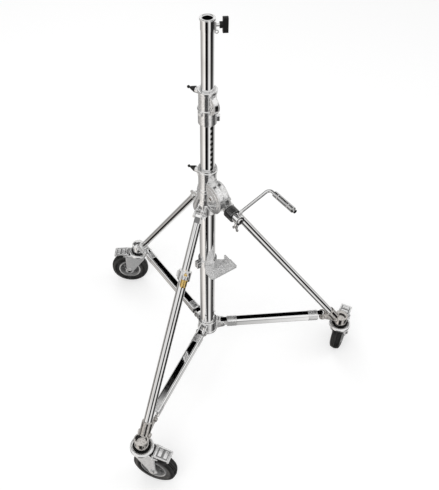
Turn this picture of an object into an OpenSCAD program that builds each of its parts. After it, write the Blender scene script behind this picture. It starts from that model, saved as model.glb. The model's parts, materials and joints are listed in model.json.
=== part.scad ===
// Wind-up stand on three braked casters: a chrome column of three telescoping tubes,
// a crank winch that lifts the risers by a row of holes, and a folding three-legged base.
// The column stands on the Z axis, the floor is at zero, and the winch faces -Y.

/* [Column] */
// Height of the socket's rim above the floor, risers down
total_h = 1420; // [1380:5:1480]
// Outer diameter of the fixed base tube
base_d = 50.8; // [49:0.1:54]
// Outer diameter of the geared riser
riser_d = 42; // [40:0.5:44]
// Outer diameter of the top tube
top_d = 35; // [33:0.5:36]
// Wall of each column tube
tube_wall = 2; // [1.5:0.1:2.4]
// Height of the base tube's lower end
base_bottom = 213; // [205:1:220]
// Height of the base tube's upper end
base_top = 948; // [940:1:955]
// Height of the geared riser's upper end, risers down
riser_top = 1210; // [1190:1:1230]
// Clearance between pieces that slide in each other
slide_gap = 0.3; // [0.2:0.05:0.5]

/* [Socket] */
// Bore of the head for a standard spigot
socket_bore = 28.6; // [28:0.1:29]
// Depth of the socket bore
socket_depth = 60; // [40:1:80]
// Diameter of the socket's rim
rim_d = 41; // [39:0.5:44]
// Length of the socket head's sleeve
head_h = 31; // [26:1:40]
// Height of the T-bar on the socket screw
t_bar = 41; // [30:1:50]

/* [Winch] */
// Distance from hole to hole up the geared riser
hole_pitch = 18; // [17:0.5:19]
// Diameter of the holes in the geared riser
hole_d = 11; // [10:0.5:11.5]
// Number of teeth on the lifting pinion
pinion_teeth = 8; // [7:1:9]
// Height of the pinion's shaft
pinion_z = 868; // [864:1:872]
// Radius of the round gear case
case_r = 45; // [43:0.5:48]
// Width of the gear case along the pinion's shaft
case_w = 38; // [36:1:44]
// Radius of the crank's arm
crank_r = 125; // [100:1:140]
// Length of the crank's sleeve grip
grip_len = 84; // [70:1:110]
// Diameter of the crank's rod
rod_d = 10; // [8:0.5:11]

/* [Base] */
// Radius of the circle on which the casters stand
caster_r = 490; // [480:1:500]
// Height of the pins at the upper ends of the legs
leg_pin_z = 804; // [800:1:806]
// Distance of the upper leg pins from the column's axis
leg_pin_r = 59; // [58:0.5:62]
// Outer diameter of the leg tubes
leg_d = 25; // [22:0.5:26]
// Outer diameter of the levelling leg's lower tube
lower_d = 28; // [27.8:0.1:28.4]
// Height of the struts' pivots above the floor
strut_z = 225; // [222:1:230]
// Distance of the struts' inner pivots from the column's axis
strut_in_r = 51; // [50:0.5:53]
// Width and height of the strut tubes
strut_w = 30; // [26:0.5:30]
// Distance from a strut's outer pivot to the axis of its leg
strut_off = 30.8; // [30.8:0.1:33]

/* [Casters] */
// Diameter of the wheels
wheel_d = 150; // [140:1:150]
// Width of the tyres
tyre_w = 38; // [34:1:40]
// Trail from the swivel axis to the wheel's axle
trail = 42; // [38:1:45]
// Height of the top of the swivelling crown
crown_z = 171; // [170:1:178]
// Diameter of the swivelling crown
crown_d = 78; // [72:1:82]

/* [Hidden] */
$fn = 48;

// Azimuths of the three legs and the trailing directions of their casters
back_az = 90;
right_az = -30;
front_az = 210;
back_trail_az = 142.9;
right_trail_az = 30;
front_trail_az = -54.7;
// Azimuths of the screws and knobs on the column
socket_screw_az = -30;
lock_knob_az = 113;
hub_screw_az = 30;

// Radii of the column's tubes
base_r = base_d / 2;
riser_r = riser_d / 2;
top_r = top_d / 2;
riser_bottom = base_bottom + 12;
top_bottom = riser_bottom + 15;
top_end = total_h - 2;

// Row of holes, counted both ways from the pinion so that a tooth is always in mesh
hole_low = riser_bottom + 14;
hole_high = riser_top - 105;
holes_down = floor((pinion_z - hole_low) / hole_pitch);
holes_up = floor((hole_high - pinion_z) / hole_pitch);
pitch_r = pinion_teeth * hole_pitch / (2 * PI);
pinion_y = -(riser_r - tube_wall / 2 + pitch_r);
pinion_tip_r = pitch_r + 2;
pinion_root_r = pitch_r - 8;
pinion_w = 7;
tooth_w = 5.5;
shaft_r = 5;
case_wall = 3;

// Worm below the wheel, its shaft running outward to the crank
worm_x = 13;
worm_r = 8.5;
wheel_tip_r = 16;
wheel_teeth = 24;
wheel_t = 5;
worm_z = pinion_z - wheel_tip_r - worm_r - 0.5;
housing_r = 14;
housing_end = 92;
housing_lip = 4;
drum_r = 20;
drum_len = 29;
crank_hub_len = 24;
crank_y = -housing_end - drum_len - crank_hub_len / 2 - 3;
shaft_end = crank_y + rod_d / 2 + 0.5;
crank_rise = 29;
knee_turn = 45;
knee_r = 26;
grip_start = 23;
grip_r = 9;
crank_hub_r = 15;
screw_turn = 135 - crank_rise;

// Castings on the column
collar_bottom = 872;
collar_r = base_r + 2.1;
hub_low = 799;
hub_len = collar_bottom - hub_low;
hub_foot_r = 44;
hub_top_r = base_r + 6;
upper_bottom = 1112;
upper_seam = 1160;
upper_top = 1217;
upper_r = riser_r + 5.5;
knob_len = 42;

// Leg plane: X outward, Z up; a leg runs from its pin down to the swivel axis
leg_foot_z = crown_z + 3;
leg_run = caster_r - leg_pin_r;
leg_fall = leg_pin_z - leg_foot_z;
leg_tilt = atan2(leg_run, leg_fall);
leg_len = norm([leg_run, leg_fall]);
// Along the leg to the foot of the normal through the outer strut pivot
pivot_along = (leg_pin_z - strut_z) / cos(leg_tilt) - strut_off * tan(leg_tilt);
strut_out_r = leg_pin_r + pivot_along * sin(leg_tilt) - strut_off * cos(leg_tilt);
eye_w = 18;
eye_r = 12;
ear_t = 5;
ear_gap = 0.4;
ear_in = eye_w / 2 + ear_gap;
bolt_r = 4;
head_r = 7.5;
head_t = 4.5;
tongue = 18;
strut_wall = 1.6;
strut_corner = 7;
leg_end_len = 58;
ear_heel = 46;
leg_tube_end = leg_len - 18;

// Levelling leg
level_along = 185;
inner_end = level_along + 205;
level_knob_off = 33;
level_knob_turn = -25;

// Foot plate
plate_z = 560;
plate_w = 100;
plate_in = 36;
plate_x = 11;
plate_out = 82;
plate_t = 5;
clamp_h = 26;
clamp_r = base_r + 5;

// Bottom hub
hub_r = base_r + 7.6;
hub_h = 50;

// Caster
wheel_r = wheel_d / 2;
rim_r = wheel_r - 16;
race_d = 53;
boss_r = 24;
boss_h = 34;
crown_t = 12;
crown_low = crown_z - crown_t;
fork_t = 3.5;
fork_in = tyre_w / 2 + 3.5;
axle_r = 5;
kingpin_r = 6;
run_gap = 0.05;
pedal_x = trail + 2;
pedal_z = crown_z - 15;
pedal_w = 42;
pedal_len = 50;

module ring(r_out, r_in, z0, z1) {
    translate([0, 0, z0]) difference() {
        cylinder(r = r_out, h = z1 - z0);
        translate([0, 0, -1]) cylinder(r = r_in, h = z1 - z0 + 2);
    }
}

// A cylinder whose length runs along X or Y from one place to another
module rod_x(r, x0, x1) { translate([x0, 0, 0]) rotate([0, 90, 0]) cylinder(r = r, h = x1 - x0); }
module rod_y(r, y0, y1) { translate([0, y0, 0]) rotate([-90, 0, 0]) cylinder(r = r, h = y1 - y0); }

// Children drawn in the leg plane are turned to a leg's azimuth
module at_leg(az) { rotate([0, 0, az]) children(); }

// Z runs down the leg from its pin and -X is the leg's outer side
module down_leg(dist = 0) {
    translate([leg_pin_r, 0, leg_pin_z]) rotate([0, 180 - leg_tilt, 0]) translate([0, 0, dist]) children();
}

// Two ears either side of an eye, blended back to a root plate
module ears(root_x, root_h, eye_x, r = eye_r + 1) {
    for (side = [-1, 1]) translate([0, side * (ear_in + ear_t / 2), 0]) rotate([90, 0, 0])
        linear_extrude(height = ear_t, center = true) union() {
            translate([eye_x, 0]) circle(r = r);
            polygon([[root_x, -root_h / 2], [eye_x, -r], [eye_x, r], [root_x, root_h / 2]]);
        }
}

// Bolt across Y with a hexagon head and a nut
module cross_bolt(half_w) {
    rod_y(bolt_r, -half_w, half_w);
    for (side = [-1, 1]) translate([0, side * (half_w + head_t / 2), 0]) rotate([90, 0, 0])
        cylinder(r = head_r, h = head_t, center = true, $fn = 6);
}

// Column

module base_tube() {
    window_h = 2 * pinion_tip_r + 8;
    color("silver") difference() {
        ring(base_r, base_r - tube_wall, base_bottom, base_top);
        translate([-pinion_w, -base_r - 5, pinion_z - window_h / 2]) cube([2 * pinion_w, base_r, window_h]);
    }
}

module riser_bush() {
    color("black") union() {
        ring(base_r - tube_wall, riser_r + slide_gap, base_top - 45, base_top);
        ring(collar_r, riser_r + slide_gap, base_top, base_top + 4);
    }
}

module geared_riser() {
    color("silver") difference() {
        ring(riser_r, riser_r - tube_wall, riser_bottom, riser_top);
        for (i = [-holes_down : holes_up]) translate([0, 0, pinion_z + i * hole_pitch])
            rod_y(hole_d / 2, -riser_r - 5, 0);
    }
}

module top_tube() {
    color("silver") ring(top_r, top_r - tube_wall, top_bottom, top_end);
}

module top_bush() {
    color("black") union() {
        ring(riser_r - tube_wall, top_r + slide_gap, riser_top - 45, riser_top);
        ring(riser_r, top_r + slide_gap, riser_top, upper_top);
    }
}

// Radial boss for a lock screw on a collar
module knob_boss(az, z, r_start, len, r) {
    rotate([0, 0, az]) translate([0, 0, z]) rod_x(r, r_start, r_start + len);
}

// Thin web that braces a boss against its collar from below
module knob_web(az, z, r_start, r_end, drop) {
    rotate([0, 0, az]) translate([0, 0, z]) rotate([90, 0, 0]) linear_extrude(height = 4, center = true)
        polygon([[r_start, -drop], [r_start, -5], [r_end, -5]]);
}

module main_collar() {
    boss_z = base_top - 20;
    color("gainsboro") difference() {
        union() {
            ring(collar_r, base_r, collar_bottom, base_top);
            ring(collar_r + 2, base_r, collar_bottom, collar_bottom + 10);
            ring(collar_r + 2, base_r, base_top - 10, base_top - 2);
            knob_boss(lock_knob_az, boss_z, base_r, 14, 9);
            knob_web(lock_knob_az, boss_z, base_r, base_r + 13, 48);
        }
        cylinder(r = base_r, h = base_top + 10);
        rotate([0, 0, lock_knob_az]) translate([0, 0, boss_z]) rod_x(4 + run_gap, 0, base_r + 30);
        translate([-case_w / 2 - slide_gap, -case_r * 2, pinion_z - case_r])
            cube([case_w + 2 * slide_gap, case_r * 2, case_r * 2]);
    }
}

// Lock knob: a screw with a cone-shaped hub and a ball tip
module lock_knob(z, r0) {
    rotate([0, 0, lock_knob_az]) translate([r0, 0, z]) rotate([0, 90, 0]) rotate_extrude()
        polygon([[0, 0], [4, 0], [4, 15], [11, 15], [11.5, 19], [7, 33], [4.5, 37], [5, knob_len - 2],
            [3.5, knob_len + 2], [0, knob_len + 3]]);
}

module main_lock_knob() { color([0.08, 0.08, 0.09]) lock_knob(base_top - 20, base_r + 0.3); }
module upper_lock_knob() { color([0.08, 0.08, 0.09]) lock_knob(upper_top - 14, riser_r + 0.3); }

module upper_collar() {
    boss_z = upper_top - 14;
    color("gainsboro") difference() {
        union() {
            ring(upper_r - 1.5, riser_r, upper_bottom, upper_top);
            ring(upper_r, riser_r, upper_bottom, upper_seam);
            ring(upper_r + 1.5, riser_r, upper_seam - 4, upper_seam);
            ring(upper_r + 1, riser_r, upper_top - 8, upper_top);
            knob_boss(lock_knob_az, boss_z, riser_r, 13, 9);
            knob_web(lock_knob_az, boss_z, riser_r, riser_r + 12, 22);
            rotate([0, 0, 195]) translate([riser_r, -5, upper_seam - 14]) cube([12, 10, 9]);
            rotate([0, 0, -40]) translate([riser_r, -7, upper_bottom + 8]) cube([13, 14, 16]);
        }
        translate([0, 0, upper_bottom - 1]) cylinder(r = riser_r, h = upper_top - upper_bottom + 2);
        rotate([0, 0, lock_knob_az]) translate([0, 0, boss_z]) rod_x(4 + run_gap, 0, riser_r + 30);
        pulley_space(0.3);
    }
}

// Pulley at the top of the geared riser, over which the lift cable of the top tube runs
pulley_z = upper_top - 40;
pulley_y = -riser_r - 8;
cover_r = 28;
cover_y = -15;
cover_w = 18;
cover_wall = 2;
sheave_r = 7;

module at_pulley() { translate([0, pulley_y, pulley_z]) children(); }
module at_cover() { translate([0, cover_y, pulley_z]) children(); }

module pulley_space(gap) {
    at_cover() rod_x(cover_r + gap, -cover_w / 2 - gap, cover_w / 2 + gap);
}

module pulley_cover() {
    color("silver") difference() {
        union() {
            at_cover() rod_x(cover_r, -cover_w / 2, cover_w / 2);
            at_pulley() rod_x(6, -cover_w / 2 - 3, cover_w / 2 + 3);
        }
        at_cover() rod_x(cover_r - cover_wall, -cover_w / 2 + cover_wall, cover_w / 2 - cover_wall);
        at_pulley() rod_x(3 + run_gap, -cover_w / 2 - 4, cover_w / 2 + 4);
        translate([0, 0, upper_bottom]) cylinder(r = riser_r + 0.1, h = upper_top - upper_bottom);
    }
}

module cable_pulley() {
    color("dimgray") at_pulley() union() {
        rotate([0, 90, 0]) rotate_extrude() polygon([[0, -4], [sheave_r, -4], [sheave_r, -3],
            [sheave_r - 2, -1], [sheave_r - 2, 1], [sheave_r, 3], [sheave_r, 4], [0, 4]]);
        rod_x(3, -cover_w / 2 - 3, cover_w / 2 + 3);
    }
}

// Socket

module socket_head() {
    pad_z = total_h - 21;
    color("silver") difference() {
        union() {
            ring(top_r + 0.9, socket_bore / 2, total_h - head_h, total_h);
            ring(rim_d / 2, socket_bore / 2, total_h - 4, total_h);
            ring(top_r - tube_wall, socket_bore / 2, total_h - socket_depth, total_h - head_h);
            rotate([0, 0, socket_screw_az]) translate([top_r - 2, -7, pad_z - 11]) cube([5.5, 14, 22]);
        }
        ring(top_r, top_r - tube_wall, total_h - head_h - 1, top_end);
        translate([0, 0, total_h - socket_depth - 1]) cylinder(r = socket_bore / 2, h = socket_depth + 2);
        rotate([0, 0, socket_screw_az]) translate([0, 0, pad_z]) rod_x(4 + run_gap, 0, 40);
    }
}

module socket_screw() {
    rotate([0, 0, socket_screw_az]) translate([0, 0, total_h - 21]) {
        color("silver") rod_x(4, socket_bore / 2 + 4.8, 31);
        color([0.06, 0.06, 0.07]) union() {
            rod_x(8.5, 29.5, 38);
            intersection() {
                translate([37, -7, -t_bar / 2]) cube([14, 14, t_bar]);
                rod_x(t_bar / 2, 36, 52);
            }
        }
    }
}

module safety_clip() {
    color("silver") rotate([0, 0, socket_screw_az]) translate([top_r + 5.2, 0, total_h - head_h - 8])
        rotate([90, 0, 0]) difference() {
            cylinder(r = 5.2, h = 3, center = true);
            cylinder(r = 3, h = 5, center = true);
        }
}

// Winch

module case_body(r, w, gap) {
    translate([0, pinion_y, pinion_z]) rod_x(r, -w / 2 - gap, w / 2 + gap);
}

// The case carries the walls and its cover closes the +X side above the worm
module gear_case() {
    color("gainsboro") difference() {
        union() {
            case_body(case_r, case_w, 0);
            translate([-case_w / 2, -base_r - 18, pinion_z - case_r]) cube([case_w, 18, case_r * 2]);
        }
        case_body(case_r - case_wall, case_w - 2 * case_wall, 0);
        translate([-case_w / 2 + case_wall, -base_r - 12, pinion_z - case_r + 8])
            cube([case_w - 2 * case_wall, 20, case_r * 2 - 16]);
        translate([case_w / 2 - case_wall, -case_r * 3, worm_z])
            cube([case_wall + 1, case_r * 4, case_r * 2]);
        translate([0, 0, pinion_z - case_r - 1]) cylinder(r = base_r + 0.1, h = case_r * 2 + 2);
        translate([0, pinion_y, pinion_z]) rod_x(shaft_r + run_gap, -case_w, case_w);
        translate([worm_x, 0, worm_z]) rod_y(housing_r + 0.1, -housing_end, 0);
    }
}

module gear_cover() {
    lip = case_w / 2 - case_wall;
    color("silver") difference() {
        union() {
            intersection() {
                translate([0, pinion_y, pinion_z]) rod_x(case_r, lip, lip + case_wall);
                translate([0, -case_r * 3, worm_z])
                    cube([case_w, case_r * 3 - base_r - slide_gap, 2 * case_r]);
            }
            translate([0, pinion_y, pinion_z]) rod_x(12, lip, lip + case_wall + 4);
            for (a = [75, 130, 185]) translate([0, pinion_y, pinion_z]) rotate([a, 0, 0])
                translate([0, case_r - 7, 0]) rod_x(3.5, lip, lip + case_wall + 2);
        }
        translate([0, pinion_y, pinion_z]) rod_x(shaft_r + run_gap, 0, case_w);
        translate([worm_x, 0, worm_z]) rod_y(housing_r + 0.1, -housing_end, -base_r);
    }
}

module pinion() {
    color("goldenrod") translate([0, pinion_y, pinion_z]) rotate([0, 90, 0])
        linear_extrude(height = pinion_w, center = true) difference() {
            union() {
                circle(r = pinion_root_r);
                for (i = [0 : pinion_teeth - 1]) rotate(90 + i * 360 / pinion_teeth) polygon([
                    [0, -tooth_w / 2 - 1], [pinion_root_r, -tooth_w / 2 - 1], [pitch_r, -tooth_w / 2],
                    [pinion_tip_r, -tooth_w / 4], [pinion_tip_r, tooth_w / 4], [pitch_r, tooth_w / 2],
                    [pinion_root_r, tooth_w / 2 + 1], [0, tooth_w / 2 + 1]]);
            }
            circle(r = shaft_r);
        }
}

module worm_wheel() {
    color("peru") translate([0, pinion_y, pinion_z]) union() {
        rod_x(shaft_r, -case_w / 2 - 1, case_w / 2 + 5);
        translate([worm_x, 0, 0]) rotate([0, 90, 0]) linear_extrude(height = wheel_t, center = true)
            difference() {
                circle(r = wheel_tip_r);
                for (i = [0 : wheel_teeth - 1]) rotate((i + 0.5) * 360 / wheel_teeth)
                    translate([wheel_tip_r, 0]) circle(r = 1.1, $fn = 16);
            }
        rod_x(9, pinion_w / 2, worm_x - wheel_t / 2);
    }
}

// The worm has cut rounds and runs just clear of the wheel's tips
module worm_shaft() {
    color("gray") translate([worm_x, 0, worm_z]) difference() {
        union() {
            rod_y(worm_r, -62, -34);
            rod_y(shaft_r, shaft_end, -30);
        }
        for (y = [-60 : 4 : -36]) translate([0, y, 0]) rotate([90, 0, 0]) rotate_extrude()
            translate([worm_r, 0]) circle(r = 1.4, $fn = 16);
    }
}

module worm_housing() {
    color("gainsboro") translate([worm_x, 0, worm_z]) difference() {
        union() {
            rod_y(housing_r, -housing_end, -base_r - 2);
            rod_y(housing_r + 3, -housing_end, -housing_end + housing_lip);
        }
        rod_y(worm_r + 1, -66, -base_r - 6);
        rod_y(shaft_r + run_gap, -housing_end - 1, -base_r);
        translate([-worm_x, pinion_y, pinion_z - worm_z]) rod_x(wheel_tip_r + 1, -5, worm_x + 6);
        translate([-worm_x, 0, -60]) cylinder(r = base_r + 2.5, h = 120);
        translate([-worm_x, pinion_y, pinion_z - worm_z]) rod_x(pinion_tip_r + 1, -6, 6);
    }
}

module clutch_drum() {
    color([0.12, 0.12, 0.13]) translate([worm_x, 0, worm_z]) difference() {
        rod_y(drum_r, -housing_end - drum_len, -housing_end - 0.3);
        rod_y(shaft_r, -housing_end - drum_len - 1, -housing_end);
        for (k = [0 : 4]) translate([0, -housing_end - 5 - k * (drum_len - 9) / 4, 0])
            rotate([90, 0, 0]) rotate_extrude() translate([drum_r, 0]) square([4, 2.4], center = true);
    }
}

module crank_hub() {
    hub0 = -housing_end - drum_len - 0.3;
    color("silver") translate([worm_x, 0, worm_z]) difference() {
        union() {
            rod_y(crank_hub_r, hub0 - crank_hub_len, hub0);
            rod_y(8, hub0 - crank_hub_len - 3, hub0);
            translate([0, crank_y, 0]) rotate([0, screw_turn, 0]) rod_x(7, 4, crank_hub_r + 6);
        }
        rod_y(shaft_r, shaft_end, hub0 + 1);
        translate([0, crank_y, 0]) rotate([0, -crank_rise - knee_turn, 0]) rod_x(rod_d / 2, -3, 40);
        translate([0, crank_y, 0]) rotate([0, screw_turn, 0]) rod_x(3 + run_gap, 8, 40);
    }
}

// The rod leaves the hub steeply, bends over to the arm and bends again to carry the grip
function crank_point(r, a) = [worm_x + r * cos(a), crank_y, worm_z + r * sin(a)];
function unit(v) = v / norm(v);

module rod_between(p, q, r) {
    d = unit(q - p);
    translate(p) rotate([0, acos(d[2]), atan2(d[1], d[0])]) cylinder(r = r, h = norm(q - p));
}

// A round bend of one rod at corner b, on the way from a to c
module rod_bend(a, b, c, r, bend_r) {
    u = unit(b - a);
    v = unit(c - b);
    turn = acos(u * v);
    w = unit(cross(u, v));
    side = cross(w, u);
    start = b - u * bend_r * tan(turn / 2);
    middle = start + side * bend_r;
    multmatrix([[-side[0], u[0], w[0], middle[0]], [-side[1], u[1], w[1], middle[1]],
        [-side[2], u[2], w[2], middle[2]]])
        rotate_extrude(angle = turn) translate([bend_r, 0]) circle(r = r);
}

// How far before a corner its bend begins
function bend_back(a, b, c, bend_r) = bend_r * tan(acos(unit(b - a) * unit(c - b)) / 2);

crank_root = crank_point(2, crank_rise + knee_turn);
crank_knee = crank_point(knee_r, crank_rise + knee_turn);
crank_end = crank_point(crank_r, crank_rise);
crank_tip = crank_end + [0, -grip_start - grip_len - 4, 0];
crank_bend = 14;
bend_swell = 0.15;
bend_lap = 0.5;
pin_r = rod_d / 2 - 1;

module crank_arm() {
    knee_cut = bend_back(crank_root, crank_knee, crank_end, crank_bend);
    end_cut = bend_back(crank_knee, crank_end, crank_tip, crank_bend);
    arm_dir = unit(crank_end - crank_knee);
    grip_at = crank_end + [0, -grip_start + 1, 0];
    color("silver") union() {
        rod_between(crank_root, crank_knee - unit(crank_knee - crank_root) * (knee_cut - bend_lap),
            rod_d / 2);
        rod_bend(crank_root, crank_knee, crank_end, rod_d / 2 + bend_swell, crank_bend);
        rod_between(crank_knee + arm_dir * (knee_cut - bend_lap), crank_end - arm_dir * (end_cut - bend_lap),
            rod_d / 2);
        rod_bend(crank_knee, crank_end, crank_tip, rod_d / 2 + bend_swell, crank_bend);
        rod_between(crank_end + [0, bend_lap - end_cut, 0], grip_at, rod_d / 2);
        rod_between(grip_at, crank_tip, pin_r);
        rod_between(crank_tip, crank_tip + [0, -3, 0], pin_r + 2);
    }
}

module crank_grip() {
    y0 = crank_y - grip_start;
    color("silver") translate([crank_end[0], y0, crank_end[2]]) rotate([90, 0, 0]) rotate_extrude()
        polygon([[pin_r + 0.2, 0], [grip_r - 1.5, 0], [grip_r, 1.5], [grip_r, 18], [grip_r - 0.8, 20],
            [grip_r, 22], [grip_r, grip_len - 22], [grip_r - 0.8, grip_len - 20], [grip_r, grip_len - 18],
            [grip_r, grip_len - 1.5], [grip_r - 1.5, grip_len], [pin_r + 0.2, grip_len]]);
}

// Two-winged screw along +X, its stem at the origin
module wing_screw(stem, r, span) {
    rod_x(r, 0, stem + 4);
    rod_x(r + 3, stem, stem + 7);
    for (side = [-1, 1]) rotate([90, 0, 0]) linear_extrude(height = 3.4, center = true) polygon([
        [stem + 1, 0], [stem + 4, side * 5], [stem + 9, side * span / 2], [stem + 14, side * span / 2],
        [stem + 16, side * (span / 2 - 5)], [stem + 8, 0]]);
}

module crank_wing_screw() {
    color("silver") translate([worm_x, crank_y, worm_z]) rotate([0, screw_turn, 0]) translate([8.2, 0, 0])
        rotate([90, 0, 0]) wing_screw(crank_hub_r - 1, 3, 24);
}

// Base: hub under the winch, legs, struts and the sliding hub

module leg_hub() {
    color("gainsboro") difference() {
        union() {
            translate([0, 0, hub_low]) rotate_extrude() polygon([[base_r, 0], [hub_foot_r, 0],
                [hub_foot_r, 10], [hub_top_r + 4, 34], [hub_top_r, 46], [hub_top_r, hub_len],
                [base_r, hub_len]]);
            for (az = [back_az, right_az, front_az]) at_leg(az) translate([0, 0, leg_pin_z]) difference() {
                translate([0, 0, 5]) ears(base_r + 2, 46, leg_pin_r, eye_r + 2);
                rotate([0, 30, 0]) translate([leg_pin_r * cos(30), 0, leg_pin_r * sin(30)]) ear_mouth();
            }
        }
        for (az = [back_az, right_az, front_az]) at_leg(az) translate([leg_pin_r, 0, leg_pin_z])
            rod_y(eye_r + 3.5, -ear_in, ear_in);
        translate([0, 0, hub_low - 1]) cylinder(r = base_r, h = hub_len + 2);
        translate([-case_w / 2 - slide_gap, -case_r * 3, pinion_z - case_r - slide_gap])
            cube([case_w + 2 * slide_gap, case_r * 3, case_r * 2]);
        translate([worm_x, 0, worm_z]) rod_y(housing_r + 0.5, -housing_end, 0);
    }
}

// Open mouth of an ear, outward and down, so that a leg's pin seats from below under load
module ear_mouth() {
    rotate([90, 0, 0]) linear_extrude(height = 40, center = true) union() {
        circle(r = bolt_r + 0.4);
        polygon([[0, bolt_r + 0.4], [40, 30], [40, -34], [0, -bolt_r - 0.4]]);
    }
}

module leg_tube(r, from, to) {
    down_leg() difference() {
        translate([0, 0, from]) cylinder(r = r, h = to - from);
        translate([0, 0, from + 12]) cylinder(r = r - 1.6, h = to - from);
    }
}

// Eye, pin and heads at the upper end of a leg
module leg_top(r) {
    down_leg() union() {
        rotate([90, 0, 0]) cylinder(r = eye_r - 1, h = eye_w, center = true);
        translate([-eye_r + 1, -eye_w / 2, 0]) cube([2 * eye_r - 2, eye_w, tongue]);
        cross_bolt(ear_in + ear_t + 0.3);
    }
}

module plain_leg(az) {
    at_leg(az) union() {
        leg_top(leg_d / 2);
        leg_tube(leg_d / 2, tongue, leg_tube_end);
    }
}

module leg_back() { color("silver") plain_leg(back_az); }
module leg_right() { color("silver") plain_leg(right_az); }
module leg_front_upper() {
    color("silver") at_leg(front_az) union() {
        leg_top(leg_d / 2);
        leg_tube(leg_d / 2, tongue, inner_end);
    }
}
module leg_front_lower() {
    color("silver") at_leg(front_az) down_leg() difference() {
        translate([0, 0, level_along]) cylinder(r = lower_d / 2, h = leg_tube_end - level_along);
        translate([0, 0, level_along - 1])
            cylinder(r = leg_d / 2 + slide_gap, h = leg_tube_end - level_along - 11);
    }
}

// Clamp collar of the levelling leg with the side boss of its knob
module levelling_collar() {
    color("gainsboro") at_leg(front_az) down_leg() difference() {
        union() {
            translate([0, 0, level_along - 15]) cylinder(r = lower_d / 2 + 6, h = 30);
            translate([0, 0, level_along - 10]) rotate([0, 0, 180 + level_knob_turn]) union() {
                translate([0, -9, 0]) cube([level_knob_off, 18, 12]);
                translate([level_knob_off, 0, 0]) cylinder(r = 11, h = 12);
            }
            translate([0, -lower_d / 2 - 12, level_along - 8]) cube([9, 14, 20]);
        }
        translate([0, 0, level_along]) cylinder(r = lower_d / 2, h = 20);
        translate([0, 0, level_along - 20]) cylinder(r = leg_d / 2 + slide_gap, h = 30);
        rotate([0, 0, 180 + level_knob_turn]) translate([level_knob_off, 0, level_along - 20])
            cylinder(r = 5 + run_gap, h = 60);
    }
}

module levelling_knob() {
    color("goldenrod") at_leg(front_az) down_leg() rotate([0, 0, 180 + level_knob_turn])
        translate([level_knob_off, 0, level_along]) rotate_extrude()
            polygon([[0, -14], [4, -14], [5, -12], [5, 2.3], [9, 2.3], [10.5, 4], [10.5, 22], [8.5, 27],
                [4, 29], [0, 29]]);
}

// Square outline with round corners
module soft_square(w, r) {
    square([w, w - 2 * r], center = true);
    square([w - 2 * r, w], center = true);
    for (x = [-1, 1], y = [-1, 1]) translate([x * (w / 2 - r), y * (w / 2 - r)]) circle(r = r);
}

module strut(az) {
    color([0.75, 0.76, 0.78]) at_leg(az) translate([0, 0, strut_z]) difference() {
        union() {
            translate([strut_in_r + tongue + 2, 0, 0]) rotate([90, 0, 90])
                linear_extrude(height = strut_out_r - strut_in_r - 2 * tongue - 4) difference() {
                    soft_square(strut_w, strut_corner);
                    soft_square(strut_w - 2 * strut_wall, strut_corner - strut_wall);
                }
            for (x = [strut_in_r, strut_out_r]) translate([x, 0, 0]) rotate([90, 0, 0])
                cylinder(r = eye_r, h = eye_w, center = true);
            translate([strut_in_r, -eye_w / 2, -eye_r]) cube([tongue + 14, eye_w, 2 * eye_r]);
            translate([strut_out_r - tongue - 14, -eye_w / 2, -eye_r]) cube([tongue + 14, eye_w, 2 * eye_r]);
            for (x = [strut_in_r + tongue + 3, strut_out_r - tongue - 15])
                translate([x, 0, 0]) rotate([90, 0, 90]) linear_extrude(height = 12)
                    soft_square(strut_w - 2 * strut_wall + 0.4, strut_corner - strut_wall);
        }
        for (x = [strut_in_r, strut_out_r]) translate([x, 0, 0]) rod_y(bolt_r + run_gap, -20, 20);
    }
}

module strut_back() { strut(back_az); }
module strut_right() { strut(right_az); }
module strut_front() { strut(front_az); }

module bottom_hub() {
    color("gainsboro") difference() {
        union() {
            ring(hub_r, base_r + slide_gap, strut_z - hub_h / 2, strut_z + hub_h / 2);
            ring(hub_r + 2.5, base_r + slide_gap, strut_z - hub_h / 2, strut_z - hub_h / 2 + 7);
            for (az = [back_az, right_az, front_az]) at_leg(az) translate([0, 0, strut_z])
                ears(hub_r - 3, 40, strut_in_r);
            rotate([0, 0, hub_screw_az]) translate([0, 0, strut_z + 8]) rod_x(9, base_r + 2, hub_r + 8);
        }
        for (az = [back_az, right_az, front_az]) at_leg(az) translate([strut_in_r, 0, strut_z]) {
            rod_y(eye_r + 1.5, -ear_in, ear_in);
            rod_y(bolt_r, -30, 30);
        }
        translate([0, 0, strut_z - hub_h]) cylinder(r = base_r + slide_gap, h = 2 * hub_h);
        rotate([0, 0, hub_screw_az]) translate([0, 0, strut_z + 8]) rod_x(4 + run_gap, 0, 60);
    }
}

module strut_bolts() {
    color("silver") for (az = [back_az, right_az, front_az]) at_leg(az)
        translate([strut_in_r, 0, strut_z]) cross_bolt(ear_in + ear_t);
}

module hub_wing_screw() {
    color("silver") rotate([0, 0, hub_screw_az]) translate([base_r + 0.6, 0, strut_z + 8])
        wing_screw(18, 4, 34);
}

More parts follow.
